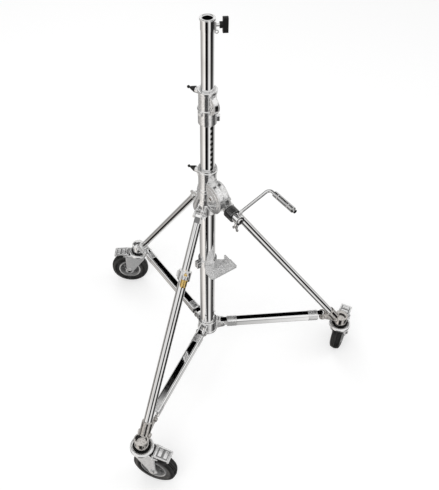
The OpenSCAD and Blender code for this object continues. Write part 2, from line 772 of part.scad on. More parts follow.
// Casting at the foot of a leg: tube socket, ears for the strut, and a boss over the caster
module leg_end(az, tube_r) {
    color("gainsboro") at_leg(az) difference() {
        union() {
            down_leg(pivot_along - 2) cylinder(r = tube_r + 4, h = leg_end_len);
            down_leg(pivot_along) translate([strut_off, 0, 0]) rotate([0, 90, 0]) end_ears();
            translate([caster_r, 0, crown_z + 3]) cylinder(r = boss_r, h = boss_h);
            translate([caster_r, 0, crown_z + 3 + boss_h]) scale([1, 1, 0.35]) sphere(r = boss_r);
            translate([caster_r, 0, crown_z + 0.4]) cylinder(r = race_d / 2, h = 4);
            translate([caster_r, 0, crown_z - 24]) cylinder(r = kingpin_r, h = 30);
            translate([caster_r, 0, crown_z - 24]) cylinder(r = 9.5, h = 7, $fn = 6);
            translate([strut_out_r, 0, strut_z]) cross_bolt(ear_in + ear_t);
            down_leg(leg_len - 42) cross_bolt(tube_r + 4);
        }
        down_leg(pivot_along - 10) cylinder(r = tube_r, h = leg_tube_end - pivot_along + 10);
    }
}

// Ears drawn with X up the leg's inner normal: they reach from the socket to the strut's pivot
module end_ears() {
    for (side = [-1, 1]) translate([0, side * (ear_in + ear_t / 2), 0]) rotate([90, 0, 0])
        linear_extrude(height = ear_t, center = true) union() {
            circle(r = eye_r + 1);
            polygon([[-eye_r - 1, 0], [eye_r + 1, 0], [2, -strut_off + 6], [-ear_heel, -strut_off + 6]]);
        }
}

module leg_end_back() { leg_end(back_az, leg_d / 2); }
module leg_end_right() { leg_end(right_az, leg_d / 2); }
module leg_end_front() { leg_end(front_az, lower_d / 2); }

// Casters, drawn at the swivel axis with the wheel trailing along X

module at_caster(az, trail_az) {
    rotate([0, 0, az]) translate([caster_r, 0, 0]) rotate([0, 0, trail_az - az]) children();
}

module fork(az, trail_az) {
    color([0.62, 0.63, 0.62]) at_caster(az, trail_az) difference() {
        union() {
            translate([0, 0, crown_low]) rotate_extrude() polygon([[kingpin_r + 0.2, 0], [crown_d / 2 - 4, 0],
                [crown_d / 2, 4], [crown_d / 2, crown_t - 2], [crown_d / 2 - 2, crown_t],
                [race_d / 2 + 2, crown_t], [race_d / 2 + 0.8, crown_t - 3], [kingpin_r + 0.2, crown_t - 3]]);
            for (side = [-1, 1]) translate([0, side * (fork_in + fork_t / 2), 0]) rotate([90, 0, 0])
                linear_extrude(height = fork_t, center = true) difference() {
                    union() {
                        polygon([[-24, crown_low + 3], [-20, crown_z - 30], [trail - 17, wheel_r],
                            [trail + 17, wheel_r], [pedal_x + 10, pedal_z - 18], [pedal_x + 8, pedal_z + 5],
                            [28, crown_low + 3]]);
                        translate([trail, wheel_r]) circle(r = 17);
                    }
                    translate([trail, wheel_r]) circle(r = axle_r);
                }
        }
        translate([trail, 0, wheel_r]) rod_y(axle_r, -40, 40);
        translate([pedal_x, 0, pedal_z]) rod_y(3 + run_gap, -40, 40);
    }
}

module at_wheel(az, trail_az) {
    at_caster(az, trail_az) translate([trail, 0, wheel_r]) rotate([90, 0, 0]) children();
}

module tyre(az, trail_az) {
    half = tyre_w / 2;
    color([0.1, 0.1, 0.11]) at_wheel(az, trail_az) rotate_extrude($fn = 96)
        polygon([[rim_r, -half + 3], [wheel_r - 9, -half], [wheel_r - 3, -half + 4], [wheel_r, -half + 12],
            [wheel_r, half - 12], [wheel_r - 3, half - 4], [wheel_r - 9, half], [rim_r, half - 3]]);
}

module rim(az, trail_az) {
    half = tyre_w / 2;
    color([0.45, 0.46, 0.48]) at_wheel(az, trail_az) rotate_extrude($fn = 96)
        polygon([[axle_r + run_gap, -half - 1], [14, -half - 1], [16, -half + 6], [rim_r - 8, -half + 9],
            [rim_r - 4, -half + 3], [rim_r, -half + 3], [rim_r, half - 3], [rim_r - 4, half - 3],
            [rim_r - 8, half - 9], [16, half - 6], [14, half + 1], [axle_r + run_gap, half + 1]]);
}

module axle(az, trail_az) {
    color("silver") at_wheel(az, trail_az) union() {
        cylinder(r = axle_r, h = 2 * (fork_in + fork_t), center = true);
        for (side = [-1, 1]) translate([0, 0, side * (fork_in + fork_t + 3.5)])
            cylinder(r = 9, h = 7, center = true, $fn = 6);
    }
}

// Brake pedal on its pin between the fork plates, its tread reaching out over the wheel
module pedal(az, trail_az) {
    color([0.78, 0.79, 0.8]) at_caster(az, trail_az) translate([pedal_x, 0, pedal_z]) union() {
        rod_y(3, -fork_in - fork_t - 1, fork_in + fork_t + 1);
        for (side = [-1, 1]) translate([-4, side * (pedal_w / 2 - 2.5) - 1.5, -4]) cube([16, 3, 12]);
        rotate([0, 8, 0]) translate([2, -pedal_w / 2, 7]) cube([pedal_len, pedal_w, 4]);
        rotate([0, 8, 0]) translate([pedal_len - 3, -pedal_w / 2, 3]) cube([5, pedal_w, 8]);
        for (k = [0 : 4]) rotate([0, 8, 0]) translate([10 + k * 8, -pedal_w / 2 + 4, 10.5])
            cube([3, pedal_w - 8, 1.8]);
    }
}

module fork_back() { fork(back_az, back_trail_az); }
module fork_right() { fork(right_az, right_trail_az); }
module fork_front() { fork(front_az, front_trail_az); }
module tyre_back() { tyre(back_az, back_trail_az); }
module tyre_right() { tyre(right_az, right_trail_az); }
module tyre_front() { tyre(front_az, front_trail_az); }
module rim_back() { rim(back_az, back_trail_az); }
module rim_right() { rim(right_az, right_trail_az); }
module rim_front() { rim(front_az, front_trail_az); }
module axle_back() { axle(back_az, back_trail_az); }
module axle_right() { axle(right_az, right_trail_az); }
module axle_front() { axle(front_az, front_trail_az); }
module pedal_back() { pedal(back_az, back_trail_az); }
module pedal_right() { pedal(right_az, right_trail_az); }
module pedal_front() { pedal(front_az, front_trail_az); }

// Foot plate on the base tube

module foot_clamp() {
    color("gainsboro") difference() {
        union() {
            ring(clamp_r, base_r, plate_z - clamp_h / 2, plate_z + clamp_h / 2);
            rotate([0, 0, 180]) translate([base_r - 1, -8, plate_z - clamp_h / 2]) cube([20, 16, clamp_h]);
        }
        translate([0, 0, plate_z - clamp_h]) cylinder(r = base_r, h = 2 * clamp_h);
        rotate([0, 0, 180]) translate([base_r - 4, -1.5, plate_z - clamp_h]) cube([30, 3, 2 * clamp_h]);
        translate([0, 0, plate_z]) rotate([0, 0, 180]) translate([base_r + 11, 0, 0]) rod_y(3.5, -20, 20);
    }
}

module foot_plate() {
    color([0.8, 0.8, 0.82]) difference() {
        union() {
            translate([0, 0, plate_z - plate_t / 2]) linear_extrude(height = plate_t) polygon([
                [-clamp_r * 0.8, -clamp_r + 12], [plate_x - plate_w / 2, -plate_in - 8],
                [plate_x - plate_w / 2, -plate_out + 4], [plate_x - plate_w / 2 + 4, -plate_out],
                [plate_x + plate_w / 2 - 4, -plate_out], [plate_x + plate_w / 2, -plate_out + 4],
                [plate_x + plate_w / 2, -plate_in - 8], [clamp_r * 0.8, -clamp_r + 12]]);
            for (x = [-18, 18]) translate([x, 0, plate_z]) rotate([90, 0, 90])
                linear_extrude(height = 4, center = true)
                    polygon([[-plate_out + 10, 0], [-clamp_r + 2, 0], [-clamp_r + 2, -13],
                        [-clamp_r - 6, -13]]);
            for (x = [-40 : 10 : 40], y = [-plate_out + 8 : 10 : -plate_in - 10])
                translate([plate_x + x, y, plate_z + plate_t / 2 - 0.5])
                    cylinder(r = 2.6, h = 1.6, $fn = 16);
            translate([plate_x + 32, -plate_in - 22, plate_z]) cube([5, 26, 22]);
        }
        translate([0, 0, plate_z - 40]) cylinder(r = clamp_r, h = 80);
    }
}

base_tube();
main_collar();
riser_bush();
leg_hub();
foot_plate();
foot_clamp();
geared_riser();
upper_collar();
pulley_cover();
cable_pulley();
top_tube();
top_bush();
socket_head();
socket_screw();
safety_clip();
upper_lock_knob();
main_lock_knob();
gear_case();
gear_cover();
pinion();
worm_wheel();
worm_shaft();
worm_housing();
clutch_drum();
crank_hub();
crank_arm();
crank_grip();
crank_wing_screw();
bottom_hub();
hub_wing_screw();
strut_bolts();
strut_back();
strut_right();
strut_front();
leg_back();
leg_right();
leg_front_upper();
leg_front_lower();
levelling_collar();
levelling_knob();
leg_end_back();
leg_end_right();
leg_end_front();
fork_back();
fork_right();
fork_front();
tyre_back();
tyre_right();
tyre_front();
rim_back();
rim_right();
rim_front();
axle_back();
axle_right();
axle_front();
pedal_back();
pedal_right();
pedal_front();
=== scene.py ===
"""Looks of a wind-up stand: chrome tubes, polished castings, rubber-tyred casters and a plain studio.

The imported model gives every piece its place. Castings are softened copies of their nodes, casters and small
turned pieces are modelled here in full, and each remaining node gets its finish.
"""

import json
import logging
import math
from collections.abc import Callable, Iterable, Sequence
from dataclasses import dataclass, field
from enum import Enum

import bmesh
import bpy
from mathutils import Matrix, Vector


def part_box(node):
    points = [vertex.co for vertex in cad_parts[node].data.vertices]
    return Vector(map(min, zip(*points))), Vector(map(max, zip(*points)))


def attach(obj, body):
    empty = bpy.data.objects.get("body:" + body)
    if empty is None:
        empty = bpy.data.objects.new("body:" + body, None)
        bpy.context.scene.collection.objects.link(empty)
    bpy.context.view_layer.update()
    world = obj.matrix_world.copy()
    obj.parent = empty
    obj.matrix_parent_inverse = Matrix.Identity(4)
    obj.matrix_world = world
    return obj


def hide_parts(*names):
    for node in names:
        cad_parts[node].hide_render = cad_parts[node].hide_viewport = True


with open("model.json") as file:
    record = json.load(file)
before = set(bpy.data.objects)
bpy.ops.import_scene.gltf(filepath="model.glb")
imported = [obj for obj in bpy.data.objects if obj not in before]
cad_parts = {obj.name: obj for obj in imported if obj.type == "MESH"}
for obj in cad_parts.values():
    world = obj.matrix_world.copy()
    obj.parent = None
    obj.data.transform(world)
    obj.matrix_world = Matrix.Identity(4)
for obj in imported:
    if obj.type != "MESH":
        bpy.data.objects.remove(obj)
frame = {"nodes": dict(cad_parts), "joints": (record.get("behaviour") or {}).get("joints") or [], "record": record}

LOG = logging.getLogger("wind_up_stand")
MM = 0.001
UP = Vector((0, 0, 1))
ALONG = Vector((1, 0, 0))
ACROSS = Vector((0, 1, 0))
Colour = tuple[float, float, float]
Point = tuple[float, float, float]
Pair = tuple[float, float]
Shape = bmesh.types.BMesh
Socket = bpy.types.NodeSocket


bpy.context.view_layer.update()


def joint_of(name: str) -> dict:
    """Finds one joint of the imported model.

    Args:
        name: the joint's name.

    Returns:
        The joint's entry, with its place and axis.
    """
    return next(joint for joint in frame["joints"] if joint["name"] == name)


def placed(name: str, data: bpy.types.ID) -> bpy.types.Object:
    """Puts an object into the scene.

    Args:
        name: the object's name.
        data: its mesh, lamp or camera.

    Returns:
        The object.
    """
    thing = bpy.data.objects.new(name, data)
    bpy.context.scene.collection.objects.link(thing)
    return thing


def meshed(name: str, shape: Shape) -> bpy.types.Mesh:
    """Turns a shape into a mesh.

    Args:
        name: the mesh's name.
        shape: the shape, which is used up.

    Returns:
        The mesh.
    """
    mesh = bpy.data.meshes.new(name)
    shape.to_mesh(mesh)
    shape.free()
    return mesh


class Grain(Enum):
    """What the surface of a finish looks like from close by."""

    POLISHED = "polished"
    CAST = "cast"
    BRUSHED = "brushed"
    SPANGLED = "spangled"
    MOULDED = "moulded"
    RUBBER = "rubber"


class NodeBench:
    """Lays out the nodes of one material or world and links them."""

    def __init__(self, tree: bpy.types.NodeTree) -> None:
        """Starts with an empty tree.

        Args:
            tree: the node tree to fill.
        """
        self.tree = tree
        tree.nodes.clear()

    def add(self, kind: str, feeds: dict | None = None, **settings: object) -> bpy.types.Node:
        """Adds a node.

        Args:
            kind: the node's type.
            feeds: an output socket or a plain value for each input, by its name or number.
            settings: the node's own properties by name.

        Returns:
            The new node.
        """
        node = self.tree.nodes.new(kind)
        for name, value in settings.items():
            setattr(node, name, value)
        for key, source in (feeds or {}).items():
            if isinstance(source, Socket):
                self.tree.links.new(source, node.inputs[key])
            else:
                node.inputs[key].default_value = source
        return node

    def math(self, operation: str, *values: object) -> Socket:
        """Adds a math node.

        Args:
            operation: what it works out.
            values: its inputs, in order.

        Returns:
            Its result.
        """
        return self.add("ShaderNodeMath", dict(enumerate(values)), operation=operation).outputs[0]

    def ramp(self, value: object, low: float, high: float, out_low: float, out_high: float) -> Socket:
        """Maps a value smoothly from one span to another and clamps it.

        Args:
            value: what is mapped.
            low: the start of the span that is read.
            high: the end of that span.
            out_low: the result at its start.
            out_high: the result at its end.

        Returns:
            The mapped value.
        """
        spans = dict(enumerate((value, low, high, out_low, out_high)))
        return self.add("ShaderNodeMapRange", spans, interpolation_type="SMOOTHSTEP").outputs[0]

    def mix(self, factor: object, first: object, second: object) -> Socket:
        """Mixes two colours.

        Args:
            factor: how much of the second.
            first: a colour with alpha, or an output.
            second: a colour with alpha, or an output.

        Returns:
            The mixed colour.
        """
        return self.add("ShaderNodeMix", {0: factor, 6: first, 7: second}, data_type="RGBA").outputs[2]

    def noise(self, scale: float, detail: float, stretch: Point = (1, 1, 1)) -> Socket:
        """Adds a noise in the object's own space.

        Args:
            scale: waves for each metre.
            detail: how many finer layers it has.
            stretch: how much the space is scaled along each axis.

        Returns:
            The noise, about 0.5 on average.
        """
        place = self.add("ShaderNodeTexCoord").outputs["Object"]
        spread = self.add("ShaderNodeMapping", {"Vector": place, "Scale": stretch})
        waves = {"Vector": spread.outputs[0], "Scale": scale, "Detail": detail}
        return self.add("ShaderNodeTexNoise", waves).outputs["Fac"]


@dataclass(frozen=True)
class Finish:
    """One finish: its colours, how it shines and its grain."""

    name: str
    colour: Colour
    second: Colour
    metallic: float
    smooth: float
    rough: float
    grain: Grain
    relief: float
    coat: float = 0.0
    shine: float = 0.5

    def build(self) -> bpy.types.Material:
        """Makes the material.

        Returns:
            The material, made of nodes only.
        """
        material = bpy.data.materials.new(self.name)
        material.use_nodes = True
        bench = NodeBench(material.node_tree)
        patches, gloss, height = self._grain(bench)
        bump = bench.add("ShaderNodeBump", {"Strength": self.relief, "Distance": 0.4 * MM, "Height": height})
        feeds = {"Base Color": bench.mix(patches, (*self.colour, 1), (*self.second, 1)),
                 "Metallic": self.metallic, "Specular IOR Level": self.shine, "Normal": bump.outputs[0],
                 "Roughness": bench.ramp(gloss, 0.3, 0.7, self.smooth, self.rough)}
        if self.coat:
            feeds |= {"Coat Weight": self.coat, "Coat Roughness": 0.2}
        shader = bench.add("ShaderNodeBsdfPrincipled", feeds)
        bench.add("ShaderNodeOutputMaterial", {0: shader.outputs[0]})
        return material

    def _grain(self, bench: NodeBench) -> tuple[Socket, Socket, Socket]:
        """Gives the patterns of this finish's grain.

        Args:
            bench: where the nodes go.

        Returns:
            Where the second colour shows, what varies the gloss, and the relief.
        """
        handled = bench.noise(14, 5)
        match self.grain:
            case Grain.POLISHED:
                smears = bench.noise(60, 6, (1, 1, 0.25))
                return bench.ramp(handled, 0.45, 0.75, 0, 1), smears, bench.noise(900, 2, (1, 1, 0.1))
            case Grain.CAST:
                pits = bench.noise(260, 5)
                waves = bench.math("ADD", bench.math("MULTIPLY", bench.noise(70, 2), 1.6), pits)
                return bench.ramp(pits, 0.35, 0.65, 1, 0), bench.noise(120, 4), waves
            case Grain.BRUSHED:
                lines = bench.noise(160, 4, (1, 1, 14))
                return bench.ramp(handled, 0.4, 0.7, 0, 1), lines, lines
            case Grain.SPANGLED:
                place = bench.add("ShaderNodeTexCoord").outputs["Object"]
                crystals = bench.add("ShaderNodeTexVoronoi", {"Vector": place, "Scale": 230})
                flakes = bench.add("ShaderNodeSeparateColor", {0: crystals.outputs["Color"]}).outputs[0]
                return flakes, bench.ramp(flakes, 0, 1, 0.35, 0.65), bench.noise(400, 3)
            case Grain.MOULDED:
                orange = bench.noise(700, 2)
                return bench.ramp(handled, 0.45, 0.7, 0, 1), handled, orange
            case _:
                dust = bench.noise(45, 6)
                return bench.ramp(dust, 0.5, 0.75, 0, 1), dust, bench.noise(500, 4)


def grey(value: float, warm: float = 0.0) -> Colour:
    """Gives a grey, turned towards warm where asked.

    Args:
        value: how light it is, linear.
        warm: how much red it gains and blue it loses.

    Returns:
        The colour.
    """
    return (value + warm, value, value - warm)


FINISHES = {finish.name: finish for finish in (
    Finish("chrome_tube", grey(0.90), grey(0.80, 0.008), 1, 0.03, 0.07, Grain.POLISHED, 0.012),
    Finish("chrome_fitting", grey(0.88), grey(0.78, 0.004), 1, 0.05, 0.12, Grain.POLISHED, 0.03),
    Finish("cast_metal", grey(0.92), grey(0.68, 0.002), 0.9, 0.08, 0.20, Grain.CAST, 0.42),
    Finish("leg_socket", grey(0.62, 0.025), grey(0.38, 0.020), 1, 0.07, 0.18, Grain.CAST, 0.25),
    Finish("crank_chrome", grey(0.72), grey(0.60, 0.004), 1, 0.06, 0.14, Grain.POLISHED, 0.03),
    Finish("grip_chrome", grey(0.60), grey(0.48, 0.004), 1, 0.12, 0.22, Grain.BRUSHED, 0.05),
    Finish("strut_chrome", grey(0.94), grey(0.88, 0.004), 1, 0.03, 0.06, Grain.POLISHED, 0.003),
    Finish("strut_sleeve", grey(0.88), grey(0.78), 1, 0.20, 0.32, Grain.BRUSHED, 0.05),
    Finish("plated_screw", grey(0.62), grey(0.50, 0.01), 1, 0.16, 0.30, Grain.BRUSHED, 0.10),
    Finish("foot_tread", grey(0.84), grey(0.62), 0.6, 0.22, 0.42, Grain.CAST, 0.35),
    Finish("black_knob", grey(0.004), grey(0.008), 0, 0.30, 0.45, Grain.MOULDED, 0.12, 0.08, 0.3),
    Finish("bush_flange", grey(0.72), grey(0.55), 0.9, 0.18, 0.34, Grain.BRUSHED, 0.1),
    Finish("brass", (0.80, 0.56, 0.20), (0.66, 0.43, 0.14), 1, 0.16, 0.32, Grain.BRUSHED, 0.10),
    Finish("bronze_wheel", (0.20, 0.14, 0.09), (0.12, 0.08, 0.05), 1, 0.25, 0.45, Grain.BRUSHED, 0.2),
    Finish("machined_steel", grey(0.52), grey(0.42, 0.006), 1, 0.20, 0.38, Grain.BRUSHED, 0.12),
    Finish("clutch_black", grey(0.12), grey(0.20), 0.95, 0.16, 0.30, Grain.CAST, 0.06),
    Finish("fork_zinc", grey(0.84), grey(0.70, 0.002), 0.45, 0.28, 0.44, Grain.SPANGLED, 0.12),
    Finish("fork_ring", grey(0.86), grey(0.72), 0.8, 0.16, 0.30, Grain.BRUSHED, 0.06),
    Finish("pedal_plate", grey(0.88), grey(0.76), 0.75, 0.20, 0.36, Grain.BRUSHED, 0.10),
    Finish("tyre_rubber", grey(0.005), grey(0.030), 0, 0.30, 0.55, Grain.RUBBER, 0.35, 0.0, 0.6),
    Finish("rim_grey", grey(0.20), grey(0.28), 0.35, 0.28, 0.48, Grain.MOULDED, 0.15, 0.0, 0.4),
    # painted highlight: a light finish for the raised rings on the rim's faces
    Finish("rim_highlight", grey(0.72), grey(0.60), 0.7, 0.24, 0.40, Grain.BRUSHED, 0.1),
    # painted shade: a black finish for thin pieces that stand in for shade in gaps, bores and tubes
    Finish("painted_shade_black", grey(0.003), grey(0.006), 0, 0.55, 0.70, Grain.RUBBER, 0.1, 0.0, 0.1),
)}


class Workshop:
    """Makes finished pieces: meshes, their materials and what they ride on."""

    def __init__(self) -> None:
        """Reads which slot and body each node has, with no material built yet."""
        self.materials: dict[str, bpy.types.Material] = {}
        self.slots = {part["node"]: part["material_slot"] for part in frame["record"]["subparts"]}
        bodies = frame["record"]["behaviour"]["bodies"]
        self.body_of = {node: body for body, nodes in bodies.items() for node in nodes}
        self.dressed: set[str] = set()

    def dress(self, thing: bpy.types.Object, finish: str, smooth_angle: float) -> None:
        """Gives an object one finish and smooth shading up to an angle.

        Args:
            thing: the object.
            finish: the finish's name.
            smooth_angle: edges sharper than this stay sharp, in degrees.
        """
        if finish not in self.materials:
            self.materials[finish] = FINISHES[finish].build()
        mesh = thing.data
        mesh.materials.clear()
        mesh.materials.append(self.materials[finish])
        mesh.polygons.foreach_set("material_index", [0] * len(mesh.polygons))
        mesh.shade_smooth()
        mesh.set_sharp_from_angle(angle=math.radians(smooth_angle))

    def seat(self, thing: bpy.types.Object, node: str, finish: str | None, smooth_angle: float,
             stands_for: bool) -> None:
        """Dresses a piece and lets it ride with a node's body.

        Args:
            thing: the piece.
            node: the node whose body carries it and whose slot it takes.
            finish: its finish, or the node's own.
            smooth_angle: edges sharper than this stay sharp, in degrees.
            stands_for: whether it replaces the node.
        """
        self.dress(thing, finish or self.slots[node], smooth_angle)
        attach(thing, self.body_of[node])
        if stands_for:
            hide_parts(node)
            self.dressed.add(node)
        LOG.info("%s rides with %s, %d faces", thing.name, self.body_of[node], len(thing.data.polygons))

    def piece(self, name: str, shape: Shape, node: str, finish: str | None = None,
              place: Matrix | None = None, stands_for: bool = False, smooth_angle: float = 35.0) -> None:
        """Turns a shape into a piece that rides with a node's body.

        Args:
            name: the piece's name.
            shape: its mesh, which is used up.
            node: the node whose body carries it and whose slot it takes.
            finish: its finish, or the node's own.
            place: where the shape's own space lies.
            stands_for: whether it replaces the node.
            smooth_angle: edges sharper than this stay sharp, in degrees.
        """
        if place is not None:
            shape.transform(place)
        bmesh.ops.recalc_face_normals(shape, faces=shape.faces)
        self.seat(placed(name, meshed(name, shape)), node, finish, smooth_angle, stands_for)

    def soften(self, node: str, voxel: float, rounds: int, keep: float, extras: Iterable[Shape] = (),
               finish: str | None = None) -> None:
        """Stands a copy with soft cast edges in a node's place.

        Args:
            node: the node to copy.
            voxel: the grid that its surface is rebuilt on, in metres.
            rounds: how many times the surface is relaxed.
            keep: the share of faces that stay.
            extras: closed shapes that are cast in one with it, which are used up.
            finish: its finish, or the node's own.
        """
        name = node + "_cast"
        shape = bmesh.new()
        shape.from_mesh(frame["nodes"][node].data)
        thing = placed(name, meshed(name, join(extras, shape)))
        grid = thing.modifiers.new("grid", "REMESH")
        grid.mode = "VOXEL"
        grid.voxel_size = voxel
        relax = thing.modifiers.new("relax", "SMOOTH")
        relax.factor = 0.5
        relax.iterations = rounds
        fewer = thing.modifiers.new("fewer", "DECIMATE")
        fewer.ratio = keep
        view = bpy.context.evaluated_depsgraph_get()
        thing.data = bpy.data.meshes.new_from_object(thing.evaluated_get(view))
        thing.modifiers.clear()
        self.seat(thing, node, finish, 80, True)

    def dress_rest(self, own: dict[str, str]) -> None:
        """Gives each node that still shows its finish.

        Args:
            own: nodes whose finish isn't the one of their slot.
        """
        for node, thing in frame["nodes"].items():
            if node not in self.dressed:
                self.dress(thing, own.get(node, self.slots[node]), 30)


def lathe(profile: Sequence[Pair], steps: int, wobble: Callable[[int, int], float] | None = None) -> Shape:
    """Turns a closed profile round the Z axis.

    Args:
        profile: places as radius and height, in order round the section.
        steps: how many there are in one turn.
        wobble: what is added to the radius at a profile point and a step.

    Returns:
        The turned shape.
    """
    shape = bmesh.new()
    rings = []
    for step in range(steps):
        angle = math.tau * step / steps
        ring = []
        for index, (radius, height) in enumerate(profile):
            reach = radius + (wobble(index, step) if wobble else 0.0)
            ring.append(shape.verts.new((reach * math.cos(angle), reach * math.sin(angle), height)))
        rings.append(ring)
    count = len(profile)
    for step in range(steps):
        here, there = rings[step], rings[(step + 1) % steps]
        for index in range(count):
            after = (index + 1) % count
            shape.faces.new((here[index], there[index], there[after], here[after]))
    on_axis = [vert for vert in shape.verts if math.hypot(vert.co.x, vert.co.y) < 1e-7]
    bmesh.ops.remove_doubles(shape, verts=on_axis, dist=1e-6)
    return shape


def around(across: float, height: float, *steps: Pair) -> list[Pair]:
    """Lays out the points of a profile or outline by their steps from one place.

    Args:
        across: the place's radius, or its X.
        height: its height, or its Y.
        steps: how far each point lies outwards and upwards, in millimetres.

    Returns:
        The points, in metres.
    """
    return [(across + out * MM, height + up * MM) for out, up in steps]


def mirrored(upper: list[Pair]) -> list[Pair]:
    """Closes a profile with its mirror image below zero.

    Args:
        upper: its upper half, from the inside outwards.

    Returns:
        The whole profile.
    """
    return upper + [(radius, -height) for radius, height in reversed(upper)]


def rod(radius: float, half: float, steps: int) -> Shape:
    """Makes a plain rod along Z, centred on the origin.

    Args:
        radius: its radius.
        half: half its length.
        steps: how many faces it has round it.

    Returns:
        The rod.
    """
    return lathe([(0, -half), (radius, -half), (radius, half), (0, half)], steps)


def soft_box(low: Point, high: Point, radius: float, segments: int = 2) -> Shape:
    """Makes a box with rounded edges.

    Args:
        low: its lowest corner.
        high: its highest corner.
        radius: the radius of its edges.
        segments: how many faces round each edge.

    Returns:
        The box.
    """
    shape = bmesh.new()
    bmesh.ops.create_cube(shape, size=1)
    centre = (Vector(low) + Vector(high)) / 2
    span = Vector(high) - Vector(low)
    shape.transform(Matrix.Translation(centre) @ Matrix.Diagonal((*span, 1)))
    bmesh.ops.bevel(shape, geom=shape.edges[:] + shape.verts[:], offset=radius, segments=segments,
                    profile=0.5, affect="EDGES")
    return shape


def prism(outline: Sequence[Pair], low: float, high: float, radius: float) -> Shape:
    """Raises an outline along Z and rounds its edges.

    Args:
        outline: places in X and Y.
        low: the height of its foot.
        high: the height of its top.
        radius: the radius of its edges.

    Returns:
        The prism.
    """
    shape = bmesh.new()
    face = shape.faces.new([shape.verts.new((x, y, low)) for x, y in outline])
    raised = bmesh.ops.extrude_face_region(shape, geom=[face])
    top = [item for item in raised["geom"] if isinstance(item, bmesh.types.BMVert)]
    bmesh.ops.translate(shape, verts=top, vec=(0, 0, high - low))
    bmesh.ops.recalc_face_normals(shape, faces=shape.faces)
    bmesh.ops.bevel(shape, geom=shape.edges[:], offset=radius, segments=2, profile=0.5, affect="EDGES")
    return shape


def join(shapes: Iterable[Shape], whole: Shape | None = None) -> Shape:
    """Puts several shapes into one.

    Args:
        shapes: the shapes, which are used up.
        whole: the shape that they are added to, or none for a new one.

    Returns:
        One shape.
    """
    if whole is None:
        whole = bmesh.new()
    for shape in shapes:
        part = meshed("part", shape)
        whole.from_mesh(part)
        bpy.data.meshes.remove(part)
    return whole


def band(centre: Pair, across: Pair, reach: Pair, start: float, end: float) -> Shape:
    """Sweeps a small rectangle round an axis that runs along X.

    Args:
        centre: the axis's place in Y and Z.
        across: where the rectangle starts and ends along X.
        reach: its inner and outer radius.
        start: the angle where the sweep starts, in degrees from Y.
        end: the angle where it ends.

    Returns:
        The closed band.
    """
    shape = bmesh.new()
    fewest, degrees_each = 8, 5
    steps = max(fewest, int((end - start) / degrees_each))
    section = ((across[0], reach[0]), (across[1], reach[0]), (across[1], reach[1]), (across[0], reach[1]))
    rings = []
    for step in range(steps + 1):
        angle = math.radians(start + (end - start) * step / steps)
        rings.append([shape.verts.new((x, centre[0] + r * math.cos(angle), centre[1] + r * math.sin(angle)))
                      for x, r in section])
    for here, there in zip(rings, rings[1:]):
        for index in range(len(section)):
            after = (index + 1) % len(section)
            shape.faces.new((here[index], here[after], there[after], there[index]))
    shape.faces.new(rings[0])
    shape.faces.new(rings[-1][::-1])
    bmesh.ops.recalc_face_normals(shape, faces=shape.faces)
    return shape


def turned(shape: Shape, matrix: Matrix) -> Shape:
    """Moves a shape and gives it back.

    Args:
        shape: the shape.
        matrix: how it moves.

    Returns:
        The same shape, moved.
    """
    shape.transform(matrix)
    return shape


def facing(axis: Vector, at: Vector, lead: Vector | None = None) -> Matrix:
    """Gives the place of a space whose Z runs along an axis.

    Args:
        axis: where Z points.
        at: its origin.
        lead: where X points as near as it can.

    Returns:
        The matrix of that space.
    """
    z = axis.normalized()
    x = lead or (UP if abs(z.z) < 0.9 else ALONG)
    x = (x - z * x.dot(z)).normalized()
    y = z.cross(x)
    turn = Matrix((x, y, z)).transposed().to_4x4()
    return Matrix.Translation(at) @ turn


@dataclass
class HexBolt:
    """A hexagon head with a chamfer on its washer."""

    across: float = 13 * MM
    height: float = 5 * MM
    washer_r: float = 9.5 * MM
    washer_t: float = 1.4 * MM

    def shape(self) -> Shape:
        """Makes the head with its washer, its foot at the origin and its top along Z."""
        reach = self.across / math.sqrt(3)
        chamfer, edge = 0.7 * MM, 0.3 * MM
        low, wide = self.washer_t, self.washer_r
        top = low + self.height
        head = lathe([(0, low), (reach, low), (reach, top - chamfer), (reach - chamfer, top), (0, top)], 6)
        washer = lathe([(0, 0), (wide, 0), (wide, low - edge), (wide - edge, low), (0, low)], 32)
        return join((head, washer))


